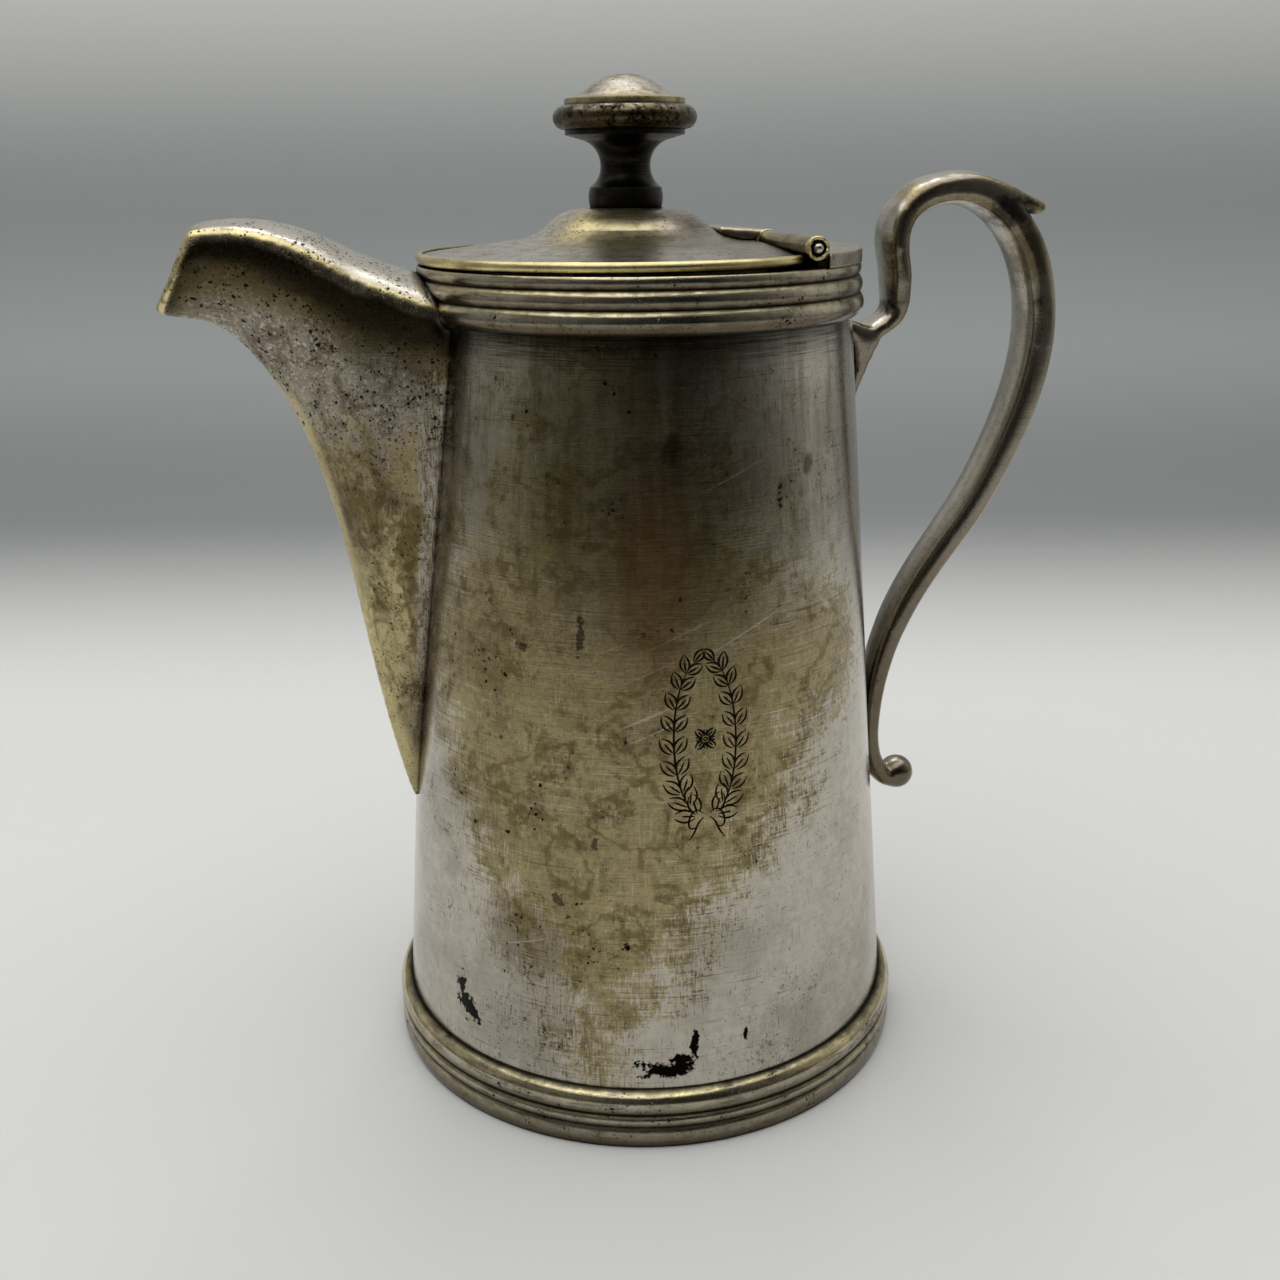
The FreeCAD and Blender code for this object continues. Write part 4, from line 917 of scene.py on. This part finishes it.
class COFFEE_POT_OT_spout(bpy.types.Operator):
    """Cast spout, its edges rubbed round"""
    bl_idname = "coffee_pot.spout"
    bl_label = "Spout"

    def execute(self, context):
        sizes = context.scene.pot_sizes
        spout = softened(context, "cast_spout", {"spout": SEAT_DEPTH}, SPOUT_GRAIN, SPOUT_RUBS,
                         sizes.spout_swell)
        self.fill_out(spout.data, sizes.spout_belly)
        self.draw_out(spout.data, LIP_WAY * sizes.lip_pull)
        finish_piece(spout, "pot", "spout_cast", self.material(context.scene.pot_finish), "spout")
        return {"FINISHED"}

    def draw_out(self, mesh, pull):
        """Draw the pouring lip out and down."""
        lip = min((vert.co for vert in mesh.vertices), key=lambda co: co.x).copy()
        for vert in mesh.vertices:
            away = (vert.co - lip).length / LIP_REACH
            if away < 1:
                vert.co += pull * (1 - away * away) ** 2
        mesh.update()

    def fill_out(self, mesh, belly):
        """Push the sides out between keel and top edge, so that they stand upright under the edge.

        Each point keeps how far it lies below the top edge, in millimetres.
        """
        slices = {}
        for vert in mesh.vertices:
            slices.setdefault(math.floor(vert.co.x / SPOUT_SLICE), []).append(vert.co)
        keel = {number: min(co.z for co in slices[number]) for number in slices}
        top = {number: max(slices[number], key=lambda co: abs(co.y)).z for number in slices}
        depths = mesh.attributes.new("below_edge", "FLOAT", "POINT").data
        for vert in mesh.vertices:
            along = vert.co.x / SPOUT_SLICE - 0.5
            near = min(max(math.floor(along), min(slices)), max(slices) - 1)
            part = min(1.0, max(0.0, along - near))
            low = keel[near] * (1 - part) + keel[near + 1] * part
            high = top[near] * (1 - part) + top[near + 1] * part
            depths[vert.index].value = (high - vert.co.z) / MM
            share = (vert.co.z - low) / max(high - low, SPOUT_SLICE)
            if not 0 < share < 1:
                continue
            clear = min(1.0, max(0.0, from_wall(vert.co) / BELLY_FADE))
            beside = min(1.0, abs(vert.co.y) / KEEL_FADE)
            push = belly * clear * math.sin(math.pi * share ** BELLY_RISE) * beside
            vert.co.y += math.copysign(push, vert.co.y)
        mesh.update()

    def material(self, finish):
        """Cast metal, plated: pitted on its sides, bare along keel and top, silver beside the wall."""
        def rubbed(g):
            # plate is left in a strip beside the wall and on the pitted sides of the beak
            node = g.node
            strip = node("MapRange", g.height, 95.0, 145.0, 0.0, 2.6)
            strip = node("Math.SUBTRACT", g.outside, strip)
            g.beyond = node("MapRange.SMOOTHSTEP", ragged(g, strip, g.worn, 10.0), 1.3, 2.5)
            keel = node("MapRange.SMOOTHSTEP", node("Math.ABSOLUTE", g.y), 4.2, 2.2, 0.0, 0.9)
            keel = node("Math.MULTIPLY", keel, node("MapRange", g.up_facing, 0.2, -0.05))
            g.keel = node("Math.MULTIPLY", keel, node("MapRange", g.height, 152.0, 140.0))
            g.low = node("MapRange.SMOOTHSTEP", ragged(g, g.height, g.worn, 130.0), 146.0, 132.0, 0.0,
                         0.92)
            sides = node("Math.MULTIPLY", g.beyond, g.low)
            return node("Math.MAXIMUM", sides, g.keel)

        def stained(g):
            node = g.node
            flat = node("Math.SUBTRACT", 1.0, g.edge)
            inner = node("Math.MULTIPLY", g.beyond, flat)
            beak = node("Math.MULTIPLY", node("Math.SUBTRACT", 1.0, g.low), inner)
            dull = node("Math.MULTIPLY", node("MapRange", g.blotch, 0.38, 0.62, 0.4, 0.95), beak)
            # painted dark reflection: under the top edge, where the sides face the dark room, a dark
            # olive band and a narrower black one
            below = node("Attribute", attribute_name="below_edge").node.outputs["Fac"]
            under = node("Math.MULTIPLY", node("MapRange", below, -0.6, 0.6), flat)
            shades = []
            for reach in ((15.0, 6.5, 0.0, 0.85), (10.0, 3.0, 0.0, 0.7)):
                shade = node("MapRange.SMOOTHSTEP", ragged(g, below, g.blotch, 16.0), *reach)
                shades.append(node("Math.MULTIPLY", under, shade))
            strip = node("Math.SUBTRACT", 1.0, g.beyond)
            streaky = node("MapRange", g.streak, 0.42, 0.6, 0.25, 0.8)
            foot = node("MapRange", g.height, 100.0, 72.0, 0.0, 0.8)
            drawn_out = node("VectorMath.DIVIDE", g.mm, (6.0, 6.0, 14.0))
            runs = node("TexNoise", drawn_out, 1.0, 6.0, 0.7, inputs={"Distortion": 0.6})
            runs = node("MapRange.SMOOTHSTEP", runs, 0.47, 0.60, 0.0, 0.75)
            runs = node("Math.MULTIPLY", runs, node("MapRange", g.low, 0.0, 0.9, 0.25, 1.0))
            roof = node("MapRange.SMOOTHSTEP", g.up_facing, 0.35, 0.75, 0.0, 0.6)
            flecks = node("Math.MULTIPLY", node("MapRange", g.grain, 0.48, 0.37, 0.0, 0.65), beak)
            return [
                (dull, finish.dull),
                (flecks, finish.plate),
                (side_spot(g, -55.0, 98.0, 6.0, 20.0, 0.3, 0.4), finish.bright),
                (side_spot(g, -66.0, 122.0, 8.0, 14.0, 0.5, 0.6), finish.olive),
                (node("Math.MULTIPLY", runs, inner), finish.olive),
                (node("Math.MULTIPLY", stain_lines(g, 11.0), 0.6), finish.tarnish_and_shade),
                (node("Math.MULTIPLY", strip, streaky), finish.tarnish_and_shade),
                (node("Math.MULTIPLY", strip, foot), finish.tarnish_and_shade),
                (shades[0], finish.olive),
                (shades[1], finish.grime_and_shade),
                (node("Math.MULTIPLY", g.keel, 0.5), finish.bright),
                (node("Math.MULTIPLY", roof, flat), finish.plate),
                (specks(g, 0.7, 0.9), finish.grime_and_shade),
            ]

        wear = Wear(bare=0.36, blush=0.2, film=(0.0, 0.3), pits=0.75, pit_cell=1.2, pit_low=122.0,
                    gloss=0.23, brush="up", hollow=4.0, edge_bright=0.95, cast=True)
        return worn_plate("Cast spout, plate pitted and worn", finish, wear, rubbed, stained)


class COFFEE_POT_OT_handle(bpy.types.Operator):
    """Cast handle run into its leaf, edges rubbed round, and the lower pad"""
    bl_idname = "coffee_pot.handle"
    bl_label = "Handle"

    def execute(self, context):
        finish = context.scene.pot_finish
        swell = context.scene.pot_sizes.handle_swell
        castings = {"handle": 0.0, "handle_upper_leaf": -SEAT_DEPTH}
        handle = softened(context, "cast_handle", castings, HANDLE_GRAIN, HANDLE_RUBS, swell)
        finish_piece(handle, "pot", "handle_cast", self.material(finish), "handle", "handle_upper_leaf")
        # small cast pad: grey plate, browned in patches
        pad = Wear(bare=0.22, film=(0.1, 0.5), gloss=0.26, brush="up")
        paint(worn_plate("Cast pad, silver plated", finish, pad), "handle_lower_pad")
        return {"FINISHED"}

    def material(self, finish):
        """Cast metal, plated and buffed: gold on the rubbed edges, black in the bends."""
        def rubbed(g):
            # the arch where the hand lies, and one worn spot on its front
            arch = g.node("MapRange", g.height, 158.0, 172.0, 0.0, 0.9)
            arch = g.node("Math.MULTIPLY", g.edge, arch)
            return g.node("Math.MAXIMUM", arch, side_spot(g, 57.0, 181.5, 3.4, 3.0, 0.3, 0.85))

        def stained(g):
            node = g.node
            # painted dark reflection: the narrow sides of the strap are painted brown, the flats stay
            # plate
            facing = node("Math.ABSOLUTE", node("SeparateXYZ", g.normal).node.outputs[1])
            sides = node("MapRange.SMOOTHSTEP", facing, 0.45, 0.9, 0.0, 0.55)
            return [
                (sides, finish.tarnish_and_shade),
                (node("MapRange", g.height, 112.0, 84.0, 0.0, 0.5), finish.tarnish_and_shade),
                (side_spot(g, 79.5, 177.5, 8.0, 4.0, 0.35, 0.8), finish.grime_and_shade),
                (side_spot(g, 84.0, 170.0, 5.0, 9.0, 0.35, 0.7), finish.tarnish_and_shade),
                (side_spot(g, 50.5, 158.5, 4.0, 2.0, 0.5, 0.8), finish.grime_and_shade),
            ]

        wear = Wear(bare=0.12, blush=0.08, film=(0.0, 0.28), specks=0.3, gloss=0.2, brush="up",
                    edge_wear=0.35, edge_bright=0.3, hollow=5.0, cast=True)
        return worn_plate("Cast handle, silver plated and buffed", finish, wear, rubbed, stained)


class COFFEE_POT_OT_lid(bpy.types.Operator):
    """Finish of the spun lid, its bezel and the hinge plate"""
    bl_idname = "coffee_pot.lid"
    bl_label = "Lid"

    def execute(self, context):
        finish = context.scene.pot_finish

        def rubbed(g):
            # a worn gold ring on the shoulder of the dome, kept to the front, where it is also a painted
            # highlight
            ring = g.node("MapRange.SMOOTHSTEP", g.radius, 29.0, 17.0, 0.0, 0.85)
            patchy = g.node("MapRange.SMOOTHSTEP", g.worn, 0.38, 0.52)
            aside = distance_from(g, g.angle, math.radians(-28.0))
            front = g.node("MapRange", aside, math.radians(18.0), math.radians(48.0), 1.0, 0.1)
            ring = g.node("Math.MULTIPLY", ring, patchy)
            g.shoulder = g.node("Math.MULTIPLY", ring, front)
            return g.shoulder

        def browned_and_painted_light(g):
            # painted highlight on the front shoulder; then one flank, the crusts, and the underside where
            # coffee steams
            flank = g.node("MapRange.SMOOTHSTEP", distance_from(g, g.angle, math.radians(50.0)),
                           math.radians(50.0), math.radians(20.0), 0.0, 0.6)
            return [
                (g.node("Math.MULTIPLY", g.shoulder, 0.7), finish.bright),
                (flank, finish.tarnish_and_shade),
                (g.node("MapRange", g.crust, 0.50, 0.68, 0.0, 0.4), finish.tarnish_and_shade),
                (g.node("MapRange", g.grain, 0.54, 0.68, 0.0, 0.45), finish.tarnish_and_shade),
                (g.node("MapRange", g.up_facing, -0.1, -0.4, 0.0, 0.85), finish.tarnish_and_shade),
            ]

        # spun sheet, brushed round: soft rings of light, a gold shoulder with painted highlight and brown
        # crusts
        spun = Wear(bare=0.2, blush=0.1, film=(0.0, 0.4), specks=0.9, gloss=0.27, brush="disc",
                    axis_x=LID_AXIS_X, hair=1.0)
        paint(worn_plate("Silver-plated lid, spun and brushed", finish, spun, rubbed, browned_and_painted_light),
              "lid_dome", "lid_bezel")
        # cut sheet, brushed along the hinge: greyer than the lid, its edges bright
        plate = Wear(bare=0.3, blush=0.2, film=(0.2, 0.6), gloss=0.28, brush="along", edge_round=0.7)
        paint(worn_plate("Silver-plated hinge plate", finish, plate), "hinge_plate")
        return {"FINISHED"}


class COFFEE_POT_OT_hinge(bpy.types.Operator):
    """Lid's knuckle with its solder run smooth, rolled tube ends, the pin's head and the fastenings"""
    bl_idname = "coffee_pot.hinge"
    bl_label = "Hinge"

    def execute(self, context):
        finish = context.scene.pot_finish
        sizes = context.scene.pot_sizes
        low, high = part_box("hinge_pin")
        axis = (low + high) / 2
        near_low, near_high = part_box("hinge_knuckle_near")
        barrel = (near_high.x - near_low.x) / 2
        tube_end = near_low.y / MM
        axis_x = axis.x / MM
        axis_z = axis.z / MM

        def rubbed_end_and_shade(g):
            # painted shade: the web under the tube is painted black; the tube's end is rubbed bright, and
            # painted black round the pin as dirt with the shade of the bore
            node = g.node
            web = node("MapRange", g.height, axis_z - 0.4, axis_z - 2.0, 0.0, 0.95)
            inwards = node("Math.SUBTRACT", g.y, node("Math.MULTIPLY", g.crust, 2.0))
            rubbed_end = node("MapRange", inwards, tube_end + 0.4, tube_end - 0.3, 0.0, 0.95)
            sideways = node("Math.SUBTRACT", g.x, axis_x)
            upward = node("Math.SUBTRACT", g.height, axis_z)
            outwards = node("VectorMath.LENGTH", node("CombineXYZ", sideways, upward))
            bore = node("MapRange", ragged(g, outwards, g.crust, 1.6), 1.75, 1.55, 0.0, 0.99)
            on_end = node("MapRange", node("SeparateXYZ", g.normal).node.outputs[1], -0.5, -0.8)
            hollow_end = node("Math.MULTIPLY", bore, on_end)
            return [(rubbed_end, finish.bright), (hollow_end, finish.grime_and_shade), (web, finish.grime_and_shade)]

        def rubbed_bright(g):
            return [(g.node("MapRange", g.crust, 0.4, 0.6, 0.9, 0.5), finish.bright)]

        # drawn tube, its plate worn off: gold, with painted shade under it
        tube = Wear(bare=0.9, blush=0.6, film=(0.05, 0.45), pits=0.25, pit_cell=1.0, brush="along",
                    hollow=2.0, edge_round=0.3, edge_wear=0.6, dirt=0.6)
        paint(worn_plate("Hinge tube, plate worn off", finish, tube, stained=rubbed_end_and_shade),
              "hinge_knuckle_near", "hinge_knuckle_far")
        # solder run over the tube: worn plate with a soft grey shine
        saddle = Wear(bare=0.4, blush=0.25, film=(0.15, 0.55), brush="along", gloss=0.3, hollow=1.5,
                      dirt=0.3, edge_wear=0.5, cast=True)
        knuckle = softened(context, "lid_knuckle_saddle", {"lid_knuckle": 0.0}, SADDLE_GRAIN,
                           SADDLE_RUBS, SADDLE_SWELL)
        plated = worn_plate("Hinge tube, silver plated", finish, saddle)
        finish_piece(knuckle, "lid", "hinge_metal", plated, "lid_knuckle")
        # tube end rolled over: a bright gold bead
        rolled = Wear(bare=1.0, blush=1.0, film=(0.0, 0.1), brush="along", hollow=0.6, edge_round=0.2,
                      dirt=0.2)
        gold = worn_plate("Rolled tube end, rubbed bright", finish, rolled, stained=rubbed_bright)
        end = Vector((axis.x, near_low.y, axis.z))
        lip = self.ring("hinge_tube_lip", end, barrel - sizes.tube_lip * 0.7, sizes.tube_lip, 1.3)
        finish_piece(lip, "pot", "hinge_metal", gold)
        joint = Vector((axis.x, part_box("lid_knuckle")[0].y, axis.z))
        seam = self.ring("lid_knuckle_lip", joint, barrel, sizes.tube_lip * 0.8, 0.2)
        finish_piece(seam, "lid", "hinge_metal", gold)
        # drawn wire: clean and bright
        wire = Wear(bare=0.0, film=(0.0, 0.1), gloss=0.18, brush="along", hollow=0.5, edge_round=0.2,
                    dirt=0.2)
        drawn = worn_plate("Drawn wire, bright", finish, wire)
        paint(drawn, "hinge_pin", "knob_stud", "knob_washer", "knob_nut")
        head = bmesh.new()
        bmesh.ops.create_uvsphere(head, u_segments=24, v_segments=12, radius=(high.x - low.x) / 2,
                                  matrix=Matrix.Translation(end))
        finish_piece(mesh_object("hinge_pin_head", head), "pot", "pin_metal", drawn)
        return {"FINISHED"}

    def ring(self, name, centre, radius, thick, uneven):
        """Rolled lip of a tube along Y, its edge more or less uneven."""
        shape = bmesh.new()
        bmesh.ops.create_circle(shape, segments=10, radius=thick,
                                matrix=Matrix.Translation(centre + Vector((radius, 0, 0))))
        bmesh.ops.spin(shape, geom=shape.verts[:] + shape.edges[:], axis=(0, 1, 0), cent=centre,
                       angle=math.tau, steps=48, use_merge=True)
        bmesh.ops.recalc_face_normals(shape, faces=shape.faces[:])
        for vert in shape.verts:
            way = vert.co - centre
            angle = math.atan2(way.z, way.x)
            outwards = Vector((way.x, 0.0, way.z)).normalized()
            wave = sum(tall * math.sin(turns * angle + shift) for tall, turns, shift in LIP_WAVES)
            vert.co += (outwards * 0.25 + Vector((0, 0.5, 0))) * wave * thick * 0.5 * uneven
        return mesh_object(name, shape)


class COFFEE_POT_OT_knob(bpy.types.Operator):
    """Finish of the turned knob, and its cap with a flared edge"""
    bl_idname = "coffee_pot.knob"
    bl_label = "Knob"

    def execute(self, context):
        finish = context.scene.pot_finish

        def blackened(g):
            return [(g.node("MapRange", g.worn, 0.42, 0.6, 0.99, 0.92), finish.grime_and_shade)]

        def browned_and_painted_light(g):
            # painted shade: the ring is darker the less it faces up
            below = g.node("MapRange", g.up_facing, 0.8, 0.2, 0.2, 0.9)
            crusty = g.node("Math.MULTIPLY", g.node("Math.ADD", g.crust, g.grain), 0.5)
            crusty = g.node("MapRange", crusty, 0.47, 0.56, 0.0, 0.85)
            return [(below, finish.tarnish_and_shade), (crusty, finish.grime_and_shade)]

        def gilt(g):
            rim = g.node("MapRange", ragged(g, g.radius, g.worn, 12.0), 8.5, 10.5, 0.0, 0.8)
            crusts = g.node("MapRange", g.crust, 0.52, 0.64, 0.0, 0.5)
            return [(rim, finish.bare), (crusts, finish.tarnish_and_shade)]

        # turned waist that no cloth reaches: black, with a faint shine
        stem = Wear(bare=0.1, film=(0.0, 0.3), gloss=0.28, axis_x=LID_AXIS_X, edge_round=0.3, hair=0.2)
        paint(worn_plate("Turned stem, black with tarnish", finish, stem, stained=blackened), "knob_stem")
        # turned ring, much handled: golden brown with black pits, painted shade on its lower half
        ring = Wear(bare=0.5, blush=0.4, film=(0.2, 0.7), pits=0.5, pit_cell=1.0, specks=0.9, gloss=0.26,
                    axis_x=LID_AXIS_X, hollow=2.0)
        paint(worn_plate("Turned ring, plate pitted", finish, ring, stained=browned_and_painted_light), "knob_ring")
        # turned cap: satin silver on top, gold towards its edge
        cap = Wear(bare=0.15, blush=0.1, film=(0.15, 0.6), gloss=0.38, brush="disc", axis_x=LID_AXIS_X,
                   hollow=1.5, hair=0.7)
        finish_piece(self.cap(context.scene.pot_sizes.cap_edge), "lid", "knob_plate",
                     worn_plate("Turned cap, silver plated", finish, cap, stained=gilt), "knob_cap")
        return {"FINISHED"}

    def cap(self, edge):
        """Cap turned to an ogee: round on top, flared to a thin upright edge."""
        low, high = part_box("knob_cap")
        radius = (high.x - low.x) / 2
        rise = high.z - low.z - edge
        outline = [(0.0, low.z), (radius, low.z)]
        for step in range(20, -1, -1):
            share = step / 20
            bell = 0.5 + 0.5 * math.cos(math.pi * share ** CAP_FULLNESS)
            outline.append((radius * share, low.z + edge + rise * bell))
        shape = bmesh.new()
        verts = [shape.verts.new((LID_AXIS_X + out, 0.0, up)) for out, up in outline]
        for pair in zip(verts, verts[1:]):
            shape.edges.new(pair)
        bmesh.ops.spin(shape, geom=shape.verts[:] + shape.edges[:], axis=(0, 0, 1),
                       cent=(LID_AXIS_X, 0, 0), angle=math.tau, steps=96, use_merge=True)
        bmesh.ops.remove_doubles(shape, verts=shape.verts[:], dist=TOUCH / 10)
        bmesh.ops.recalc_face_normals(shape, faces=shape.faces[:])
        return mesh_object("knob_cap_ogee", shape)


# Sweep, in metres: the floor's front end, the backdrop's place behind the pot, the bend between them, the
# backdrop's height and half its width
SWEEP_FRONT, SWEEP_BACK, SWEEP_BEND, SWEEP_TALL, SWEEP_HALF = -1.2, 0.62, 0.16, 1.6, 2.2
# Where its tone changes: about the end of the flat floor, then up the backdrop
TURN_FROM, TURN_TO = -0.28, 0.04
BACKDROP_FROM, BACKDROP_TO = 0.01, 0.09
TOP_FROM, TOP_TO = 0.17, 0.32
# Room round the front: its radius, its height, how it gets lighter upwards, and its share of blue
ROOM_RADIUS, ROOM_TALL, ROOM_BLUE = 0.66, 0.75, 0.96
ROOM_LIFT = (0.0, 0.18, 0.7, 1.2)
# Soft lights: name, place to the right, behind and above the pot, width, length and watts
LIGHTS = [
    ("overhead", (-0.1, 0.1, 1.4), 2.6, 2.2, 25.5),
    ("left_panel", (-0.13, 0.42, 0.95), 0.16, 0.30, 0.6),
    ("right_panel", (0.10, 0.42, 0.95), 0.08, 0.25, 0.35),
]
WORLD_GREY = 0.32
# Dark room that the metal mirrors: degrees to the right of the camera's side, and its tone
ROOM_TONES = [(-140, 0.24), (-115, 0.40), (-92, 0.24), (-70, 0.28), (-50, 0.13), (-33, 0.12), (-8, 0.05),
              (28, 0.015), (64, 0.12), (100, 0.50), (135, 0.27), (150, 0.30)]


class COFFEE_POT_OT_stage(bpy.types.Operator):
    """Floor with a grey sweep behind it, a dark room in front, soft lights and the camera"""
    bl_idname = "coffee_pot.stage"
    bl_label = "Stage"

    def execute(self, context):
        stage = context.scene.pot_stage
        # from the camera's own right, forward and up to the pot's frame
        self.turn = Matrix.Rotation(-stage.camera_side, 3, "Z")
        self.sweep(context, stage)
        self.room(context, stage)
        self.lights(context)
        self.camera(context, stage)
        context.scene.view_settings.view_transform = "Standard"
        return {"FINISHED"}

    def sweep(self, context, stage):
        """Floor that curves up into a backdrop behind the pot."""
        shape = bmesh.new()
        floor_end = SWEEP_BACK - SWEEP_BEND
        outline = [(SWEEP_FRONT, 0.0), (floor_end, 0.0)]
        for step in range(1, 13):
            angle = math.pi / 2 * step / 12
            outline.append((floor_end + SWEEP_BEND * math.sin(angle),
                            SWEEP_BEND - SWEEP_BEND * math.cos(angle)))
        outline.append((SWEEP_BACK, SWEEP_TALL))
        verts = [shape.verts.new((-SWEEP_HALF, along, up)) for along, up in outline]
        edges = [shape.edges.new(pair) for pair in zip(verts, verts[1:])]
        made = bmesh.ops.extrude_edge_only(shape, edges=edges)
        moved = [item for item in made["geom"] if isinstance(item, bmesh.types.BMVert)]
        bmesh.ops.translate(shape, verts=moved, vec=(2 * SWEEP_HALF, 0, 0))
        bmesh.ops.rotate(shape, verts=shape.verts[:], cent=(0, 0, 0), matrix=self.turn)
        bmesh.ops.recalc_face_normals(shape, faces=shape.faces[:])
        sweep = mesh_object("sweep", shape)
        context.scene.collection.objects.link(sweep)
        sweep.data.materials.append(self.sweep_material(stage, floor_end))

    def sweep_material(self, stage, floor_end):
        """Matt paper: pale on the floor, painted shade where it turns up, grey up the backdrop and
        painted light at the top.
        """
        material, tree = new_tree("Matt paper sweep")
        node = partial(add, tree)
        place = node("TexCoord").node.outputs["Object"]
        turned = node("Mapping", place, inputs={"Rotation": (0, 0, stage.camera_side)})
        _, along, up = node("SeparateXYZ", turned).node.outputs
        tone = rgba(stage.floor_colour)
        for way, start, end, colour_there in (
                (along, floor_end + TURN_FROM, floor_end + TURN_TO, stage.turn_shade_colour),
                (up, BACKDROP_FROM, BACKDROP_TO, stage.backdrop_colour),
                (up, TOP_FROM, TOP_TO, stage.top_light_colour)):
            share = node("MapRange.SMOOTHSTEP", way, start, end)
            tone = node("Mix.RGBA", share, tone, rgba(colour_there))
        node("OutputMaterial", node("BsdfPrincipled", inputs={"Base Color": tone, "Roughness": 0.9}))
        return material

    def room(self, context, stage):
        """Dark cloth round the front, seen only in the metal: it casts no shadow and no light."""
        first, last = ROOM_TONES[0][0], ROOM_TONES[-1][0]
        shape = bmesh.new()
        turned = math.radians(first)
        foot = shape.verts.new((ROOM_RADIUS * math.sin(turned), -ROOM_RADIUS * math.cos(turned), 2 * MM))
        head = shape.verts.new((foot.co.x, foot.co.y, ROOM_TALL))
        shape.edges.new((foot, head))
        bmesh.ops.spin(shape, geom=shape.verts[:] + shape.edges[:], axis=(0, 0, 1), cent=(0, 0, 0),
                       angle=math.radians(last - first), steps=58)
        bmesh.ops.rotate(shape, verts=shape.verts[:], cent=(0, 0, 0), matrix=self.turn)
        room = mesh_object("dark_room", shape)
        context.scene.collection.objects.link(room)
        for ray in ("camera", "diffuse", "shadow", "transmission", "volume_scatter"):
            setattr(room, "visible_" + ray, False)
        material, tree = new_tree("Dark cloth")
        node = partial(add, tree)
        turned = node("Mapping", node("TexCoord").node.outputs["Object"],
                      inputs={"Rotation": (0, 0, stage.camera_side)})
        side, along, up = node("SeparateXYZ", turned).node.outputs
        around = node("Math.ARCTAN2", side, node("Math.MULTIPLY", along, -1.0))
        share = node("MapRange", around, math.radians(first), math.radians(last))
        ramp = node("ValToRGB", share)
        stops = ramp.node.color_ramp.elements
        for degrees, _ in ROOM_TONES[1:-1]:
            stops.new((degrees - first) / (last - first))
        for stop, (_, tone) in zip(stops, ROOM_TONES):
            stop.color = (tone, tone, tone * ROOM_BLUE, 1.0)
        node("OutputMaterial", node("Emission", ramp, node("MapRange", up, *ROOM_LIFT)))
        room.data.materials.append(material)

    def lights(self, context):
        """Soft light from above, two panels behind and an even grey world."""
        for name, place, wide, tall, power in LIGHTS:
            data = bpy.data.lights.new(name, "AREA")
            data.shape = "RECTANGLE"
            data.size = wide
            data.size_y = tall
            data.energy = power
            lamp = bpy.data.objects.new(name, data)
            lamp.location = self.turn @ Vector(place)
            lamp.rotation_euler = (-lamp.location).to_track_quat("-Z", "Y").to_euler()
            lamp.visible_camera = False
            context.scene.collection.objects.link(lamp)
        world = bpy.data.worlds.new("soft_room")
        context.scene.world = world
        world.use_nodes = True
        world.node_tree.nodes.clear()
        sky = add(world.node_tree, "Background", (WORLD_GREY, WORLD_GREY, WORLD_GREY, 1), 1.0)
        add(world.node_tree, "OutputWorld", sky)

    def camera(self, context, stage):
        """Camera at the photograph's place, angle and focal length."""
        data = bpy.data.cameras.new("camera")
        data.sensor_width = SENSOR
        data.lens = SENSOR * PHOTO_FOCAL / PHOTO_SIDE
        data.clip_start = 0.01
        camera = bpy.data.objects.new("camera", data)
        camera.location = self.turn @ Vector((0.0, -stage.camera_distance, stage.camera_height))
        aim = (Matrix.Rotation(-stage.camera_side - stage.camera_yaw, 3, "Z")
               @ Matrix.Rotation(math.pi / 2 - stage.camera_pitch, 3, "X")
               @ Matrix.Rotation(stage.camera_roll, 3, "Z"))
        camera.rotation_euler = aim.to_euler()
        context.scene.collection.objects.link(camera)
        context.scene.camera = camera


BUILDERS = (
    COFFEE_POT_OT_wall,
    COFFEE_POT_OT_ornament,
    COFFEE_POT_OT_mouldings,
    COFFEE_POT_OT_spout,
    COFFEE_POT_OT_handle,
    COFFEE_POT_OT_lid,
    COFFEE_POT_OT_hinge,
    COFFEE_POT_OT_knob,
    COFFEE_POT_OT_stage,
)


class COFFEE_POT_PT_panel(bpy.types.Panel):
    """Lists the sizes, the colours and the pieces"""
    bl_idname = "COFFEE_POT_PT_panel"
    bl_label = "Coffee Pot"
    bl_space_type = "VIEW_3D"
    bl_region_type = "UI"
    bl_category = "Coffee Pot"

    def draw(self, context):
        for group in (context.scene.pot_sizes, context.scene.pot_finish, context.scene.pot_stage):
            box = self.layout.box()
            for name in group.__annotations__:
                box.prop(group, name)
        for builder in BUILDERS:
            self.layout.operator(builder.bl_idname)


GROUPS = {"pot_sizes": PotSizes, "pot_finish": PotFinish, "pot_stage": PotStage}


def register():
    for name, group in GROUPS.items():
        bpy.utils.register_class(group)
        setattr(bpy.types.Scene, name, PointerProperty(type=group))
    for builder in (*BUILDERS, COFFEE_POT_PT_panel):
        bpy.utils.register_class(builder)


def unregister():
    for builder in (COFFEE_POT_PT_panel, *reversed(BUILDERS)):
        bpy.utils.unregister_class(builder)
    for name, group in GROUPS.items():
        delattr(bpy.types.Scene, name)
        bpy.utils.unregister_class(group)


def main():
    register()
    bpy.ops.coffee_pot.wall()
    bpy.ops.coffee_pot.ornament()
    bpy.ops.coffee_pot.mouldings()
    bpy.ops.coffee_pot.spout()
    bpy.ops.coffee_pot.handle()
    bpy.ops.coffee_pot.lid()
    bpy.ops.coffee_pot.hinge()
    bpy.ops.coffee_pot.knob()
    bpy.ops.coffee_pot.stage()


if __name__ == "__main__":
    main()
